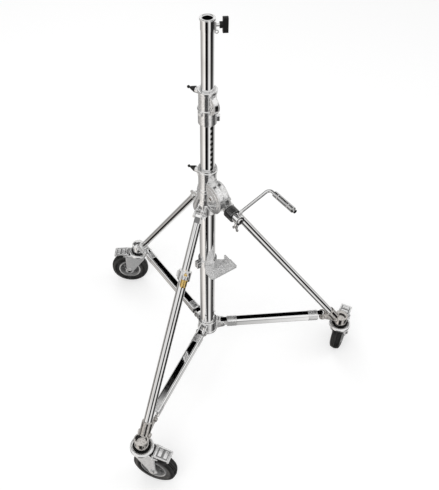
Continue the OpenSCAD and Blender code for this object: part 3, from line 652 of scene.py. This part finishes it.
@dataclass
class Caster:
    """One braked caster, drawn with its swivel axis on Z, its trail on X and the floor at zero."""

    side: str
    shop: Workshop
    round_steps: int = 72
    tread_blocks: int = 72
    steps_in_block: int = 3
    block_gap: float = 1.4 * MM
    groove: float = 1.9 * MM
    tyre_half: float = 19 * MM
    wheel_r: float = 75 * MM
    seat_r: float = 46 * MM
    bore_r: float = 5.3 * MM
    hub_r: float = 13 * MM
    ribs: int = 8
    rib_half: float = 1.6 * MM
    crown_z: float = 171 * MM
    crown_r: float = 39 * MM
    crown_t: float = 12 * MM
    race_r: float = 24.5 * MM
    boss_r: float = 20 * MM
    shade_rise: float = 4.4 * MM
    fork_in: float = 22.5 * MM
    fork_t: float = 3.4 * MM
    fork_bend: float = 7 * MM
    fork_foot_r: float = 17 * MM
    fork_sides: tuple[tuple[float, float, float], ...] = (
        (154, -25, 64.5), (148, -23.5, 65), (141, -20, 65), (130, -12.5, 63.5), (115, -2.2, 61.8),
        (100, 8, 60.4), (87, 17, 59.4))
    pedal_half: float = 21 * MM
    pedal_len: float = 50 * MM
    pedal_tilt: float = 8.0
    pedal_pin_r: float = 3 * MM
    roll_r: float = 4 * MM
    axle_r: float = 5 * MM
    place: Matrix = field(init=False)
    trail: float = field(init=False)
    pedal_x: float = field(init=False)
    pedal_z: float = field(init=False)

    def __post_init__(self) -> None:
        """Reads where the caster stands from its joints."""
        swivel = Vector(joint_of(f"swivel_{self.side}")["pos_m"])
        hub = Vector(joint_of(f"wheel_{self.side}_spin")["pos_m"])
        run = Vector((hub.x - swivel.x, hub.y - swivel.y, 0))
        self.trail = run.length
        self.place = facing(UP, Vector((swivel.x, swivel.y, 0)), run)
        brake = self.place.inverted() @ Vector(joint_of(f"pedal_{self.side}_press")["pos_m"])
        self.pedal_x, self.pedal_z = brake.x, brake.z

    def build(self) -> None:
        """Makes the caster's pieces."""
        self.tyre()
        self.rim()
        self.fork()
        self.crown()
        self.pedal()
        self.axle()

    def add(self, part: str, detail: str, shape: Shape, finish: str | None = None,
            place: Matrix | None = None, **options: object) -> None:
        """Adds one piece of this caster.

        Args:
            part: its node's name without the side.
            detail: the end of the piece's own name.
            shape: its mesh, which is used up.
            finish: its finish, or the node's own.
            place: where the shape's own space lies, or the caster's.
            options: what else a piece of the workshop takes.
        """
        node = f"{part}_{self.side}"
        place = self.place if place is None else place
        self.shop.piece(f"{node}_{detail}", shape, node, finish, place, **options)

    def wheel_place(self) -> Matrix:
        """Gives the place of the wheel, its axle along Z."""
        return self.place @ facing(ACROSS, Vector((self.trail, 0, self.wheel_r)), ALONG)

    def tyre(self) -> None:
        """Makes the tyre with its grooves and cross ribs."""
        half, top, cut = self.tyre_half, self.wheel_r, self.groove
        wall = around(self.seat_r, half, (0, -3), (2.5, -2.2))
        wall += around(top, half, (-18, 0), (-13, -0.3), (-9, -1.6), (-6.4, -3.4))
        tread = []
        for edge, drop in ((14.2, 3.4), (9.2, 1.5), (3.6, 0.3)):
            high = top - drop * MM
            tread += around(high, 0, (-0.5, edge), (0, edge - 3.2))
            tread += around(high - cut, 0, (0, edge - 3.5), (0, edge - 4.7))
        profile = mirrored(wall + tread[:-2])
        first, last = len(wall) - 1, len(profile) - len(wall)

        def wobble(index: int, step: int) -> float:
            """Lowers the tread between its cross ribs."""
            cross_rib = step % self.steps_in_block
            return 0.0 if cross_rib or not first <= index <= last else -self.block_gap

        shape = lathe(profile, self.tread_blocks * self.steps_in_block, wobble)
        self.add("tyre", "tread", shape, place=self.wheel_place(), stands_for=True, smooth_angle=40)

    def rim(self) -> None:
        """Makes the wheel's centre: a rounded lip, a dished web with ribs and a hub, with raised lighter rings on
        both faces that paint highlights.
        """
        half, hub, lip = self.tyre_half, self.hub_r, self.seat_r
        outer = around(self.bore_r, half, (0, 1)) + around(hub, half, (-1.5, 1), (0, -0.5))
        outer += around(hub, 0, (2, 7)) + around(lip, 0, (-15, 5))
        outer += around(lip, half, (-11, -7), (-8, -2.5), (-5, -1), (-1.5, -1.4), (0, -3))
        shapes = [lathe(mirrored(outer), self.round_steps)]
        for index in range(self.ribs):
            for face in (-1, 1):
                low = min(face * 4 * MM, face * (half - 7 * MM))
                near = (hub - 1 * MM, -self.rib_half, low)
                far = (lip - 11 * MM, self.rib_half, low + half - 11 * MM)
                bar = soft_box(near, far, 0.8 * MM)
                shapes.append(turned(bar, Matrix.Rotation(math.tau * index / self.ribs, 4, "Z")))
        self.add("rim", "dish", join(shapes), place=self.wheel_place(), stands_for=True)
        # raised rings on both faces; their lighter finish paints highlights on the grey rim
        highlight_rings = []
        spans = ((lip - 6 * MM, 3.4, half - 0.6 * MM), (hub + 9 * MM, 2.4, 6.6 * MM))
        for face in (-1, 1):
            for inner, wide, height in spans:
                section = around(inner, height, (0, -1.5), (wide, -1.5), (wide, 0), (wide / 2, 0.6), (0, 0))
                highlight_rings.append(turned(lathe(section, self.round_steps), Matrix.Diagonal((1, 1, face, 1))))
        self.add("rim", "highlight_rings", join(highlight_rings), "rim_highlight", self.wheel_place())

    def fork_rows(self) -> list[tuple[float, float, float, float]]:
        """Lays out one cheek of the fork as rows from the crown down to the axle.

        Returns:
            Each row's height, its distance from the middle, and where it starts and ends along X.
        """
        bend, bend_steps, foot_steps, quarter_steps = self.fork_bend, 6, 7, 6.4
        top = self.crown_z - 7 * MM
        outer = self.fork_in + self.fork_t
        ear = self.pedal_x + 9 * MM
        rows = [(top, 14 * MM, -22 * MM, 26 * MM), (top, outer - bend, -25 * MM, 31 * MM)]
        for step in range(1, bend_steps + 1):
            angle = math.radians(90 * step / bend_steps)
            drop = bend * (1 - math.cos(angle))
            rows.append((top - drop, outer - bend + bend * math.sin(angle), -26 * MM, 31 * MM + drop * 4.6))
        rows += [(z * MM, outer, low * MM, min(high * MM, ear)) for z, low, high in self.fork_sides]
        for step in range(foot_steps):
            angle = math.radians(90 * step / quarter_steps)
            reach = self.fork_foot_r * math.cos(angle)
            height = self.wheel_r - self.fork_foot_r * math.sin(angle)
            rows.append((height, outer, self.trail - reach, self.trail + reach))
        return rows

    def fork(self) -> None:
        """Makes the pressed fork: two cheeks that bend into the plate under the crown."""
        columns = 10
        cheeks = []
        for face in (-1, 1):
            shape = bmesh.new()
            grid = [[shape.verts.new((low + (high - low) * column / columns, face * y, z))
                     for column in range(columns + 1)] for z, y, low, high in self.fork_rows()]
            for upper, lower in zip(grid, grid[1:]):
                for column in range(columns):
                    shape.faces.new((upper[column], upper[column + 1], lower[column + 1], lower[column]))
            bmesh.ops.recalc_face_normals(shape, faces=shape.faces)
            outward = sum(item.normal.y * item.calc_area() for item in shape.faces) * face
            if outward < 0:
                bmesh.ops.reverse_faces(shape, faces=shape.faces)
            bmesh.ops.solidify(shape, geom=shape.faces[:], thickness=self.fork_t)
            rim = [edge for edge in shape.edges if edge.calc_face_angle(0) > math.radians(60)]
            bmesh.ops.bevel(shape, geom=rim, offset=0.7 * MM, segments=2, profile=0.5, affect="EDGES")
            cheeks.append(shape)
        self.add("fork", "cheeks", join(cheeks), stands_for=True, smooth_angle=50)

    def crown(self) -> None:
        """Makes the crown over the fork: a rolled ring, the raceway, a black ring of painted shade in the gap
        round it and a black disc of painted shade over it.
        """
        top, reach, race = self.crown_z, self.crown_r, self.race_r
        low = top - self.crown_t
        ring = (around(0, low, (8, 1)) + around(reach, low, (-5, 0), (-1.5, 1.5), (0, 4))
                + around(reach, top, (-0.6, -3), (-3, -0.8), (-6, 0))
                + around(race, top, (4.5, -0.6), (2.6, -2), (2, -4.5)) + around(0, top, (8, -5)))
        self.add("fork", "crown", lathe(ring, self.round_steps), "fork_ring")
        # painted shade: a black ring in the gap round the raceway
        race_shade = around(race, top, (-4, -4.8), (2.2, -4.8), (2.2, -2.2), (0.9, -1.2), (-4, -1.2))
        self.add("fork", "race_shade", lathe(race_shade, self.round_steps), "painted_shade_black")
        # painted shade: a black disc over the crown, under the leg end
        disc = top + self.shade_rise
        shade = (around(self.boss_r, disc, (-1, 0)) + around(race, disc, (4, 0), (4, 0.5), (3.4, 0.9))
                 + around(self.boss_r, disc, (-1, 0.9)))
        self.add("leg_end", "shade", lathe(shade, self.round_steps), "painted_shade_black")

    def pedal(self) -> None:
        """Makes the brake pedal: a dished plate with two windows, cheeks and a rolled end, and a dark grey sheet
        of painted shade in its recess.
        """
        half, start, low = self.pedal_half, 2 * MM, 7 * MM
        end, edge, lift = start + self.pedal_len, 1.4 * MM, low + 1 * MM
        cheek_half = 1.4 * MM
        tilt = Matrix.Rotation(math.radians(self.pedal_tilt), 4, "Y")
        plate = [soft_box((start, -half, low), (end, half, low + 3 * MM), 1.2 * MM),
                 soft_box((start + 1 * MM, -half, lift), (end, -half + 4 * MM, low + 5 * MM), edge),
                 soft_box((start + 1 * MM, half - 4 * MM, lift), (end, half, low + 5 * MM), edge),
                 soft_box((start, -half, lift), (start + 5 * MM, half, low + 4.6 * MM), edge)]
        inside = half - 8 * MM
        for at in (start + 10 * MM, start + 29 * MM):
            corner = (at + 12 * MM, inside, low + 5.2 * MM)
            plate.append(soft_box((at, -inside, low + 1.5 * MM), corner, 1.6 * MM, 3))
        roll = lathe([(0, -half), *around(self.roll_r, -half, (-1, 0), (0, 1)),
                      *around(self.roll_r, half, (0, -1), (-1, 0)), (0, half)], 24)
        plate.append(turned(roll, facing(ACROSS, Vector((end - 1 * MM, 0, low + 0.5 * MM)))))
        shapes = [turned(shape, tilt) for shape in plate]
        outline = around(0, 0, (-5, -3), (10, -3), (26, 4), (22, 8), (-3, 8), (-6, 3))
        upright = Matrix.Rotation(math.radians(90), 4, "X")
        for face in (-1, 1):
            cheek = prism(outline, -cheek_half, cheek_half, 0.6 * MM)
            shapes.append(turned(cheek, Matrix.Translation((0, face * (half - 2.5 * MM), 0)) @ upright))
        pin = rod(self.pedal_pin_r, self.fork_in + self.fork_t + 1 * MM, 24)
        shapes.append(turned(pin, facing(ACROSS, Vector((0, 0, 0)))))
        place = self.place @ Matrix.Translation((self.pedal_x, 0, self.pedal_z))
        self.add("pedal", "plate", join(shapes), place=place, stands_for=True)
        # painted shade: a dark grey sheet across the plate's recess, between its windows and borders
        shade_sheet = soft_box((start + 6 * MM, -half + 5 * MM, low + 2.6 * MM),
                         (end - 6 * MM, half - 5 * MM, low + 3.3 * MM), 0.2 * MM)
        self.add("pedal", "recess_shade", turned(shade_sheet, tilt), "rim_grey", place)

    def axle(self) -> None:
        """Makes the axle with a washered head on each end."""
        bolt = HexBolt()
        reach = self.fork_in + self.fork_t
        shapes = []
        for face in (-1, 1):
            at = Vector((self.trail, face * reach, self.wheel_r))
            shapes.append(turned(bolt.shape(), facing(Vector((0, face, 0)), at, Vector((0.3, 0, 1)))))
        middle = Vector((self.trail, 0, self.wheel_r))
        shapes.append(turned(rod(self.axle_r, reach, 32), facing(ACROSS, middle)))
        self.add("axle", "bolt", join(shapes), stands_for=True)


@dataclass
class Castings:
    """The castings of the column and base, softened as they come from the mould."""

    shop: Workshop
    plain: tuple[str, ...] = ("main_collar", "upper_collar", "worm_housing", "foot_clamp", "levelling_collar",
                              "crank_hub", "gear_cover")
    broad: tuple[str, ...] = ("leg_hub", "bottom_hub")
    case_r: float = 45 * MM
    cover_r: float = 28 * MM
    cover_half: float = 9 * MM

    def build(self) -> None:
        """Makes every casting."""
        for node in self.plain:
            self.shop.soften(node, 0.75 * MM, 4, 0.24)
        for node in self.broad:
            self.shop.soften(node, 1.0 * MM, 6, 0.3)
        for side, finish in (("back", "cast_metal"), ("right", "leg_socket"), ("front", "leg_socket")):
            self.shop.soften(f"leg_end_{side}", 0.8 * MM, 5, 0.22, finish=finish)
        self.gear_case()
        self.pulley_cover()

    def gear_case(self) -> None:
        """Makes the gear case with the flanges of its halves and the rings on its face."""
        low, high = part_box("gear_case")
        middle = tuple(joint_of("lift_gear_spin")["pos_m"][1:])
        half, rim, face = high.x, self.case_r, -low.x
        wide, flange = 3.2 * MM, (rim - 4 * MM, rim + 2.4 * MM)
        bands = [band(middle, (-face, wide - face), flange, 72, 288),
                 band(middle, (half - wide, half), flange, 72, 288),
                 band(middle, (-1.2 * MM, 1.2 * MM), (rim - 4 * MM, rim + 1.5 * MM), 72, 288),
                 band(middle, (-1.6 * MM - face, 1.5 * MM - face), (rim - 13 * MM, rim - 10 * MM), 64, 296),
                 band(middle, (-2.6 * MM - face, 1.5 * MM - face), (7 * MM, 13 * MM), 0, 359)]
        self.shop.soften("gear_case", 0.8 * MM, 3, 0.34, bands)

    def pulley_cover(self) -> None:
        """Makes the pulley's cover with a flange at each edge."""
        low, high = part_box("pulley_cover")
        middle = (low.y + self.cover_r, (low.z + high.z) / 2)
        half, rim = self.cover_half, self.cover_r
        wide, flange = 2.4 * MM, (rim - 3 * MM, rim + 1.8 * MM)
        bands = [band(middle, (-half, wide - half), flange, 106, 254),
                 band(middle, (half - wide, half), flange, 106, 254),
                 band(middle, (-1.4 * MM - half, 1 * MM - half), (rim - 11 * MM, rim - 8.6 * MM), 116, 244)]
        self.shop.soften("pulley_cover", 0.7 * MM, 3, 0.34, bands)


@dataclass
class ColumnDetails:
    """Small turned pieces of the column: knobs, the socket's lip and black pieces of painted shade inside the
    tubes.
    """

    shop: Workshop
    tube_wall: float = 2 * MM
    bore_r: float = 14.3 * MM
    rim_r: float = 20.5 * MM
    ball_r: float = 4.4 * MM
    shade_sleeve_t: float = 0.7 * MM

    def build(self) -> None:
        """Makes every detail."""
        self.knob("main_lock_knob", "main_knob_turn")
        self.knob("upper_lock_knob", "upper_knob_turn")
        self.screw()
        self.lip()
        self.bore_shade_sleeve()

    def knob(self, node: str, joint: str) -> None:
        """Makes a lock knob: a bright screw with its cap, then a black cone that ends in a ball.

        Args:
            node: the knob's node.
            joint: the joint that it turns on.
        """
        turn = joint_of(joint)
        axis = Vector(turn["axis"]).normalized()
        low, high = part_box(node)
        middle = (low + high) / 2
        reach = abs(axis.x) * (high.x - low.x) / 2 + abs(axis.y) * (high.y - low.y) / 2
        flat = Vector((turn["pos_m"][0], turn["pos_m"][1], middle.z))
        place = facing(axis, flat, UP)
        tip = (middle - flat).dot(axis) + reach - 4 * MM
        cap = around(0, tip, (3.9, -35), (8, -34.5), (8.8, -33), (8.8, -28.6), (8, -27.6), (0, -27.6))
        screw = lathe(around(0, 0, (0, -9), (3.9, -9)) + cap, 48)
        self.shop.piece(node + "_screw", screw, node, "chrome_fitting", place, stands_for=True)
        radius, angles = self.ball_r, [math.radians(step) for step in range(36, 181, 18)]
        ball = [(radius * math.sin(angle), tip - radius - radius * math.cos(angle)) for angle in angles]
        cone = around(0, tip, (0, -28), (8.6, -28), (9.2, -26.6), (8.9, -24.6), (4.6, -12.6), (2.8, -9.6))
        self.shop.piece(node + "_grip", lathe(cone + ball, 48), node, None, place)

    def screw(self) -> None:
        """Makes the bright thread between the socket and its screw's handle."""
        turn = joint_of("socket_screw_turn")
        axis, at = Vector(turn["axis"]).normalized(), Vector(turn["pos_m"])
        start = at - axis * (at.xy.length - self.rim_r - 1 * MM)
        thread = lathe(around(0, 0, (0, 0), (4.3, 0), (4.3, 6.6), (5.4, 6.8), (5.4, 8.4), (0, 8.4)), 32)
        self.shop.piece("socket_screw_thread", thread, "socket_screw", "chrome_fitting", facing(axis, start))

    def lip(self) -> None:
        """Rounds the socket's rim and paints shade into its bore from some way down, as a black cup."""
        low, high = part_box("socket_head")
        foot, top, bore = low.z, high.z, self.bore_r
        lip = around(self.rim_r, top, (0, -3.4), (0.3, -1.6), (-0.4, -0.2), (-1.8, 0.4))
        lip += around(bore, top, (1.6, 0.4), (-0.4, -0.6), (-1.2, -1.8), (-1.2, -2.6), (0.5, -2.8))
        self.shop.piece("socket_lip", lathe(lip, 72), "socket_head", "chrome_fitting")
        # painted shade: a black cup down the bore
        shade = (around(0, foot, (0, 2)) + around(bore, foot, (-0.2, 2))
                 + around(bore, top, (-0.2, -2.7), (-1, -2.7))
                 + around(bore, foot, (-1, 4)) + around(0, foot, (0, 4)))
        self.shop.piece("socket_shade", lathe(shade, 48), "socket_head", "painted_shade_black")

    def bore_shade_sleeve(self) -> None:
        """Paints shade inside the geared tube with a black sleeve, so that its row of holes reads dark."""
        low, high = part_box("geared_riser")
        outer = (high.x - low.x) / 2 - self.tube_wall - 0.05 * MM
        inner = outer - self.shade_sleeve_t
        foot, top = low.z + 3 * MM, high.z - 48 * MM
        # painted shade: a thin black sleeve inside the riser, behind its holes
        tube = lathe([(inner, foot), (outer, foot), (outer, top), (inner, top)], 64)
        self.shop.piece("riser_shade_sleeve", tube, "geared_riser", "painted_shade_black")


@dataclass
class StrutSleeves:
    """Bright sleeves round both ends of each strut, where its fittings are pressed in."""

    shop: Workshop
    wide: float = 31.6 * MM
    long: float = 34 * MM
    margin: float = 19 * MM
    corner: float = 7.8 * MM

    def build(self) -> None:
        """Makes two sleeves on each strut."""
        joints = {"back": "base_fold", "right": "strut_right_fold", "front": "strut_front_fold"}
        for side, joint in joints.items():
            inner = Vector(joint_of(joint)["pos_m"])
            outer = Vector(joint_of(f"leg_{side}_fold")["pos_m"])
            run = (outer - inner).normalized()
            ends = {"hub": inner + run * self.margin, "leg": outer - run * (self.margin + self.long)}
            for end, at in ends.items():
                self.shop.piece(f"strut_{side}_{end}_sleeve", self.sleeve(), f"strut_{side}", "strut_sleeve",
                                facing(run, at, UP))

    def sleeve(self) -> Shape:
        """Makes one sleeve along Z."""
        half, radius, turns = self.wide / 2, self.corner, 6
        edge, wall = 0.6 * MM, 0.9 * MM
        outline = []
        for quarter, way in enumerate(((1, 1), (-1, 1), (-1, -1), (1, -1))):
            centre = Vector(way) * (half - radius)
            for step in range(turns + 1):
                angle = math.radians(90 * quarter + 90 * step / turns)
                outline.append(centre + Vector((math.cos(angle), math.sin(angle))) * radius)
        shape = bmesh.new()
        outside = [(0, -edge), (edge, 0), (self.long - edge, 0), (self.long, -edge)]
        rings = []
        for height, grow in outside + [(self.long, -wall), (0, -wall)]:
            scale = (half + grow) / half
            rings.append([shape.verts.new((spot.x * scale, spot.y * scale, height)) for spot in outline])
        count = len(outline)
        for index, ring in enumerate(rings):
            other = rings[(index + 1) % len(rings)]
            for step in range(count):
                after = (step + 1) % count
                shape.faces.new((ring[step], ring[after], other[after], other[step]))
        return shape


@dataclass
class FootPlate:
    """The cast step on the base tube, with its raised studs."""

    shop: Workshop
    stud_r: float = 2.1 * MM
    stud_h: float = 1.3 * MM
    pitch: float = 6.6 * MM
    row_share: float = 0.87
    first_row: float = 5 * MM
    rows_end: float = 32 * MM
    margin: float = 6 * MM
    top_h: float = 15.5 * MM

    def build(self) -> None:
        """Makes the plate as one casting with its studs."""
        low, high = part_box("foot_plate")
        top = low.z + self.top_h
        middle, half = (low.x + high.x) / 2, (high.x - low.x) / 2 - self.margin
        sunk, wide, tall = -0.4 * MM, self.stud_r, self.stud_h
        dome = [(0, sunk), (wide, sunk), (wide * 0.86, tall * 0.6), (wide * 0.5, tall), (0, tall * 1.08)]
        studs = []
        for row in range(int((high.y - low.y - self.rows_end) / (self.pitch * self.row_share))):
            y = low.y + self.first_row + row * self.pitch * self.row_share
            shift = self.pitch / 2 if row % 2 else 0.0
            for column in range(-8, 9):
                x = column * self.pitch + shift
                if abs(x) < half:
                    studs.append(turned(lathe(dome, 10), Matrix.Translation((middle + x, y, top))))
        self.shop.soften("foot_plate", 0.7 * MM, 3, 0.35)
        self.shop.piece("foot_plate_studs", join(studs), "foot_plate", smooth_angle=70)


@dataclass
class Studio:
    """The plain studio: floor, world, lamps and the camera at the photograph's angle."""

    eye: Point = (-0.861, -1.239, 2.217)
    heading: Point = (0.571, 0.821, 0.0)
    pitch: float = 43.28
    lens: float = 50.35
    shift: Pair = (0.0241, -0.0786)
    floor_reach: float = 14.0
    sheets: tuple[Pair, ...] = (
        (0, 0.60), (20, 0.85), (40, 0.95), (70, 0.85), (88, 0.62), (103, 0.16), (118, 0.50), (138, 0.42),
        (158, 0.75), (176, 1.0), (194, 1.0), (203, 0.16), (208, 0.002), (231, 0.002), (240, 0.07),
        (250, 0.55), (262, 1.0), (277, 0.72), (292, 0.22), (305, 0.020), (326, 0.010), (338, 0.18),
        (350, 0.45), (360, 0.60))
    cloths: tuple[tuple[float, float, float, float, float], ...] = (
        (130, -62, 7, 14, 0.01), (235, 8, 10, 17, 0.005), (148, -10, 8, 15, 0.06), (262, -60, 3, 8, 0.10),
        (95, 36, 12, 20, 0.03), (272, 23, 5, 12, 0.10), (328, -9, 6, 13, 0.95), (297, -20, 9, 15, 0.005),
        (215, -78, 9, 16, 0.06), (190, 25, 4, 9, 0.16))

    def build(self) -> None:
        """Builds all of it."""
        self.camera()
        self.floor()
        self.world()
        self.lamps()
        bpy.context.scene.view_settings.view_transform = "Standard"

    def camera(self) -> None:
        """Sets the camera."""
        data = bpy.data.cameras.new("camera")
        data.sensor_fit = "AUTO"
        data.sensor_width = 36
        data.lens = self.lens
        data.shift_x, data.shift_y = self.shift
        data.clip_end = 60
        camera = placed("camera", data)
        ahead = Vector(self.heading).normalized()
        down = math.radians(self.pitch)
        look = ahead * math.cos(down) - UP * math.sin(down)
        camera.matrix_world = facing(-look, Vector(self.eye), ahead.cross(UP))
        bpy.context.scene.camera = camera

    def floor(self) -> None:
        """Lays a pale floor that fades to white far out and keeps the shadow."""
        shape = bmesh.new()
        bmesh.ops.create_circle(shape, cap_ends=True, segments=64, radius=self.floor_reach)
        floor = placed("floor", meshed("floor", shape))
        material = bpy.data.materials.new("floor_pale")
        material.use_nodes = True
        bench = NodeBench(material.node_tree)
        pale = bench.add("ShaderNodeBsdfDiffuse", {0: (*grey(0.62), 1)})
        black = bench.add("ShaderNodeBsdfDiffuse", {0: (0, 0, 0, 1)})
        seen = bench.add("ShaderNodeLightPath").outputs["Is Camera Ray"]
        spot = bench.add("ShaderNodeTexCoord").outputs["Object"]
        far = bench.add("ShaderNodeVectorMath", {0: spot}, operation="LENGTH").outputs["Value"]
        light = bench.math("MULTIPLY", bench.ramp(far, 2.5, 7.0, 0.48, 1.0), seen)
        fade = bench.math("MULTIPLY", bench.ramp(far, 2.5, 7.0, 0.0, 1.0), seen)
        glow = bench.add("ShaderNodeEmission", {0: (1, 1, 1, 1), 1: light})
        blend = bench.add("ShaderNodeMixShader", {0: fade, 1: pale.outputs[0], 2: black.outputs[0]})
        total = bench.add("ShaderNodeAddShader", {0: blend.outputs[0], 1: glow.outputs[0]})
        bench.add("ShaderNodeOutputMaterial", {0: total.outputs[0]})
        floor.data.materials.append(material)
        floor.visible_glossy = False

    def world(self) -> None:
        """Lights the scene evenly, with dark cloths between bright sheets for what is polished."""
        world = bpy.data.worlds.new("studio")
        world.use_nodes = True
        bpy.context.scene.world = world
        bench = NodeBench(world.node_tree)
        way = bench.add("ShaderNodeTexCoord").outputs["Generated"]
        x, y, z = bench.add("ShaderNodeSeparateXYZ", {0: way}).outputs
        rise = bench.math("DEGREES", bench.math("ARCSINE", z))
        turn = bench.math("DEGREES", bench.math("ARCTAN2", y, x))
        ring = bench.add("ShaderNodeValToRGB", {0: bench.math("FRACT", bench.math("DIVIDE", turn, 360.0))})
        stops = ring.color_ramp.elements
        while len(stops) < len(self.sheets):
            stops.new(0.5)
        for stop, (azimuth, light) in zip(stops, self.sheets):
            warm = 0.04 if 95 < azimuth < 200 else 0.01
            stop.position = azimuth / 360
            stop.color = (light * (1 + warm), light, light * (1 - warm), 1)
        aside = bench.math("WRAP", bench.math("SUBTRACT", turn, 55), 180.0, -180.0)
        sector = bench.ramp(bench.math("ABSOLUTE", aside), 70.0, 80.0, 1, 0)
        high = bench.math("MULTIPLY", bench.ramp(rise, 38, 42, 0, 1), bench.ramp(rise, 58, 60, 1, 0))
        clear = bench.math("SUBTRACT", 1, bench.math("MULTIPLY", sector, high))
        above = bench.math("MULTIPLY", bench.ramp(rise, -2, 30, 0.75, 1.0), clear)
        sky = bench.mix(above, (0, 0, 0, 1), (0.97, 0.965, 0.96, 1))
        tinted = bench.mix(bench.ramp(rise, -4, 6, 0, 1), ring.outputs[0], sky)
        for azimuth, height, inner, outer, light in self.cloths:
            cloth = self.disc(bench, way, azimuth, height, inner, outer)
            tinted = bench.mix(cloth, tinted, (light, light, light, 1))
        path = bench.add("ShaderNodeLightPath").outputs
        sharp = bench.math("MAXIMUM", path["Is Glossy Ray"], path["Is Transmission Ray"])
        seen = bench.mix(path["Is Camera Ray"], (*grey(0.62), 1), (1, 1, 1, 1))
        back = bench.add("ShaderNodeBackground", {0: bench.mix(sharp, seen, tinted)})
        bench.add("ShaderNodeOutputWorld", {0: back.outputs[0]})

    @staticmethod
    def disc(bench: NodeBench, way: Socket, azimuth: float, height: float, inner: float,
             outer: float) -> Socket:
        """Gives a soft round mask about one direction.

        Args:
            bench: where the nodes go.
            way: the direction that is looked up.
            azimuth: where the middle lies, in degrees.
            height: how high it lies over the horizon, in degrees.
            inner: how far it is full, in degrees.
            outer: where it ends, in degrees.

        Returns:
            1 inside the disc and 0 outside.
        """
        up, turn = math.radians(height), math.radians(azimuth)
        middle = (math.cos(up) * math.cos(turn), math.cos(up) * math.sin(turn), math.sin(up))
        near = bench.add("ShaderNodeVectorMath", {0: way, 1: middle}, operation="DOT_PRODUCT")
        end, full = math.cos(math.radians(outer)), math.cos(math.radians(inner))
        return bench.ramp(near.outputs["Value"], end, full, 0, 1)

    def lamps(self) -> None:
        """Hangs three soft lamps."""
        lamps = (("key", (-2.2, -1.6, 3.4), 2.2, 42), ("fill", (2.6, -1.4, 2.4), 2.0, 16),
                 ("rim", (0.6, 2.8, 3.0), 2.0, 18))
        for name, at, size, power in lamps:
            data = bpy.data.lights.new(name, "AREA")
            data.size = size
            data.energy = power
            lamp = placed(name, data)
            place = Vector(at)
            lamp.matrix_world = facing(place - Vector((0, 0, 0.6)), place)
            lamp.visible_glossy = False


def main() -> None:
    """Builds the stage and every piece in order."""
    logging.basicConfig(level=logging.INFO, format="%(name)s: %(message)s")
    Studio().build()
    shop = Workshop()
    Castings(shop).build()
    for side in ("back", "right", "front"):
        Caster(side, shop).build()
    ColumnDetails(shop).build()
    StrutSleeves(shop).build()
    FootPlate(shop).build()
    own = {f"strut_{side}": "strut_chrome" for side in ("back", "right", "front")}
    own |= {"riser_bush": "bush_flange", "top_bush": "bush_flange", "crank_arm": "crank_chrome",
            "crank_grip": "grip_chrome"}
    shop.dress_rest(own)


if __name__ == "__main__":
    main()
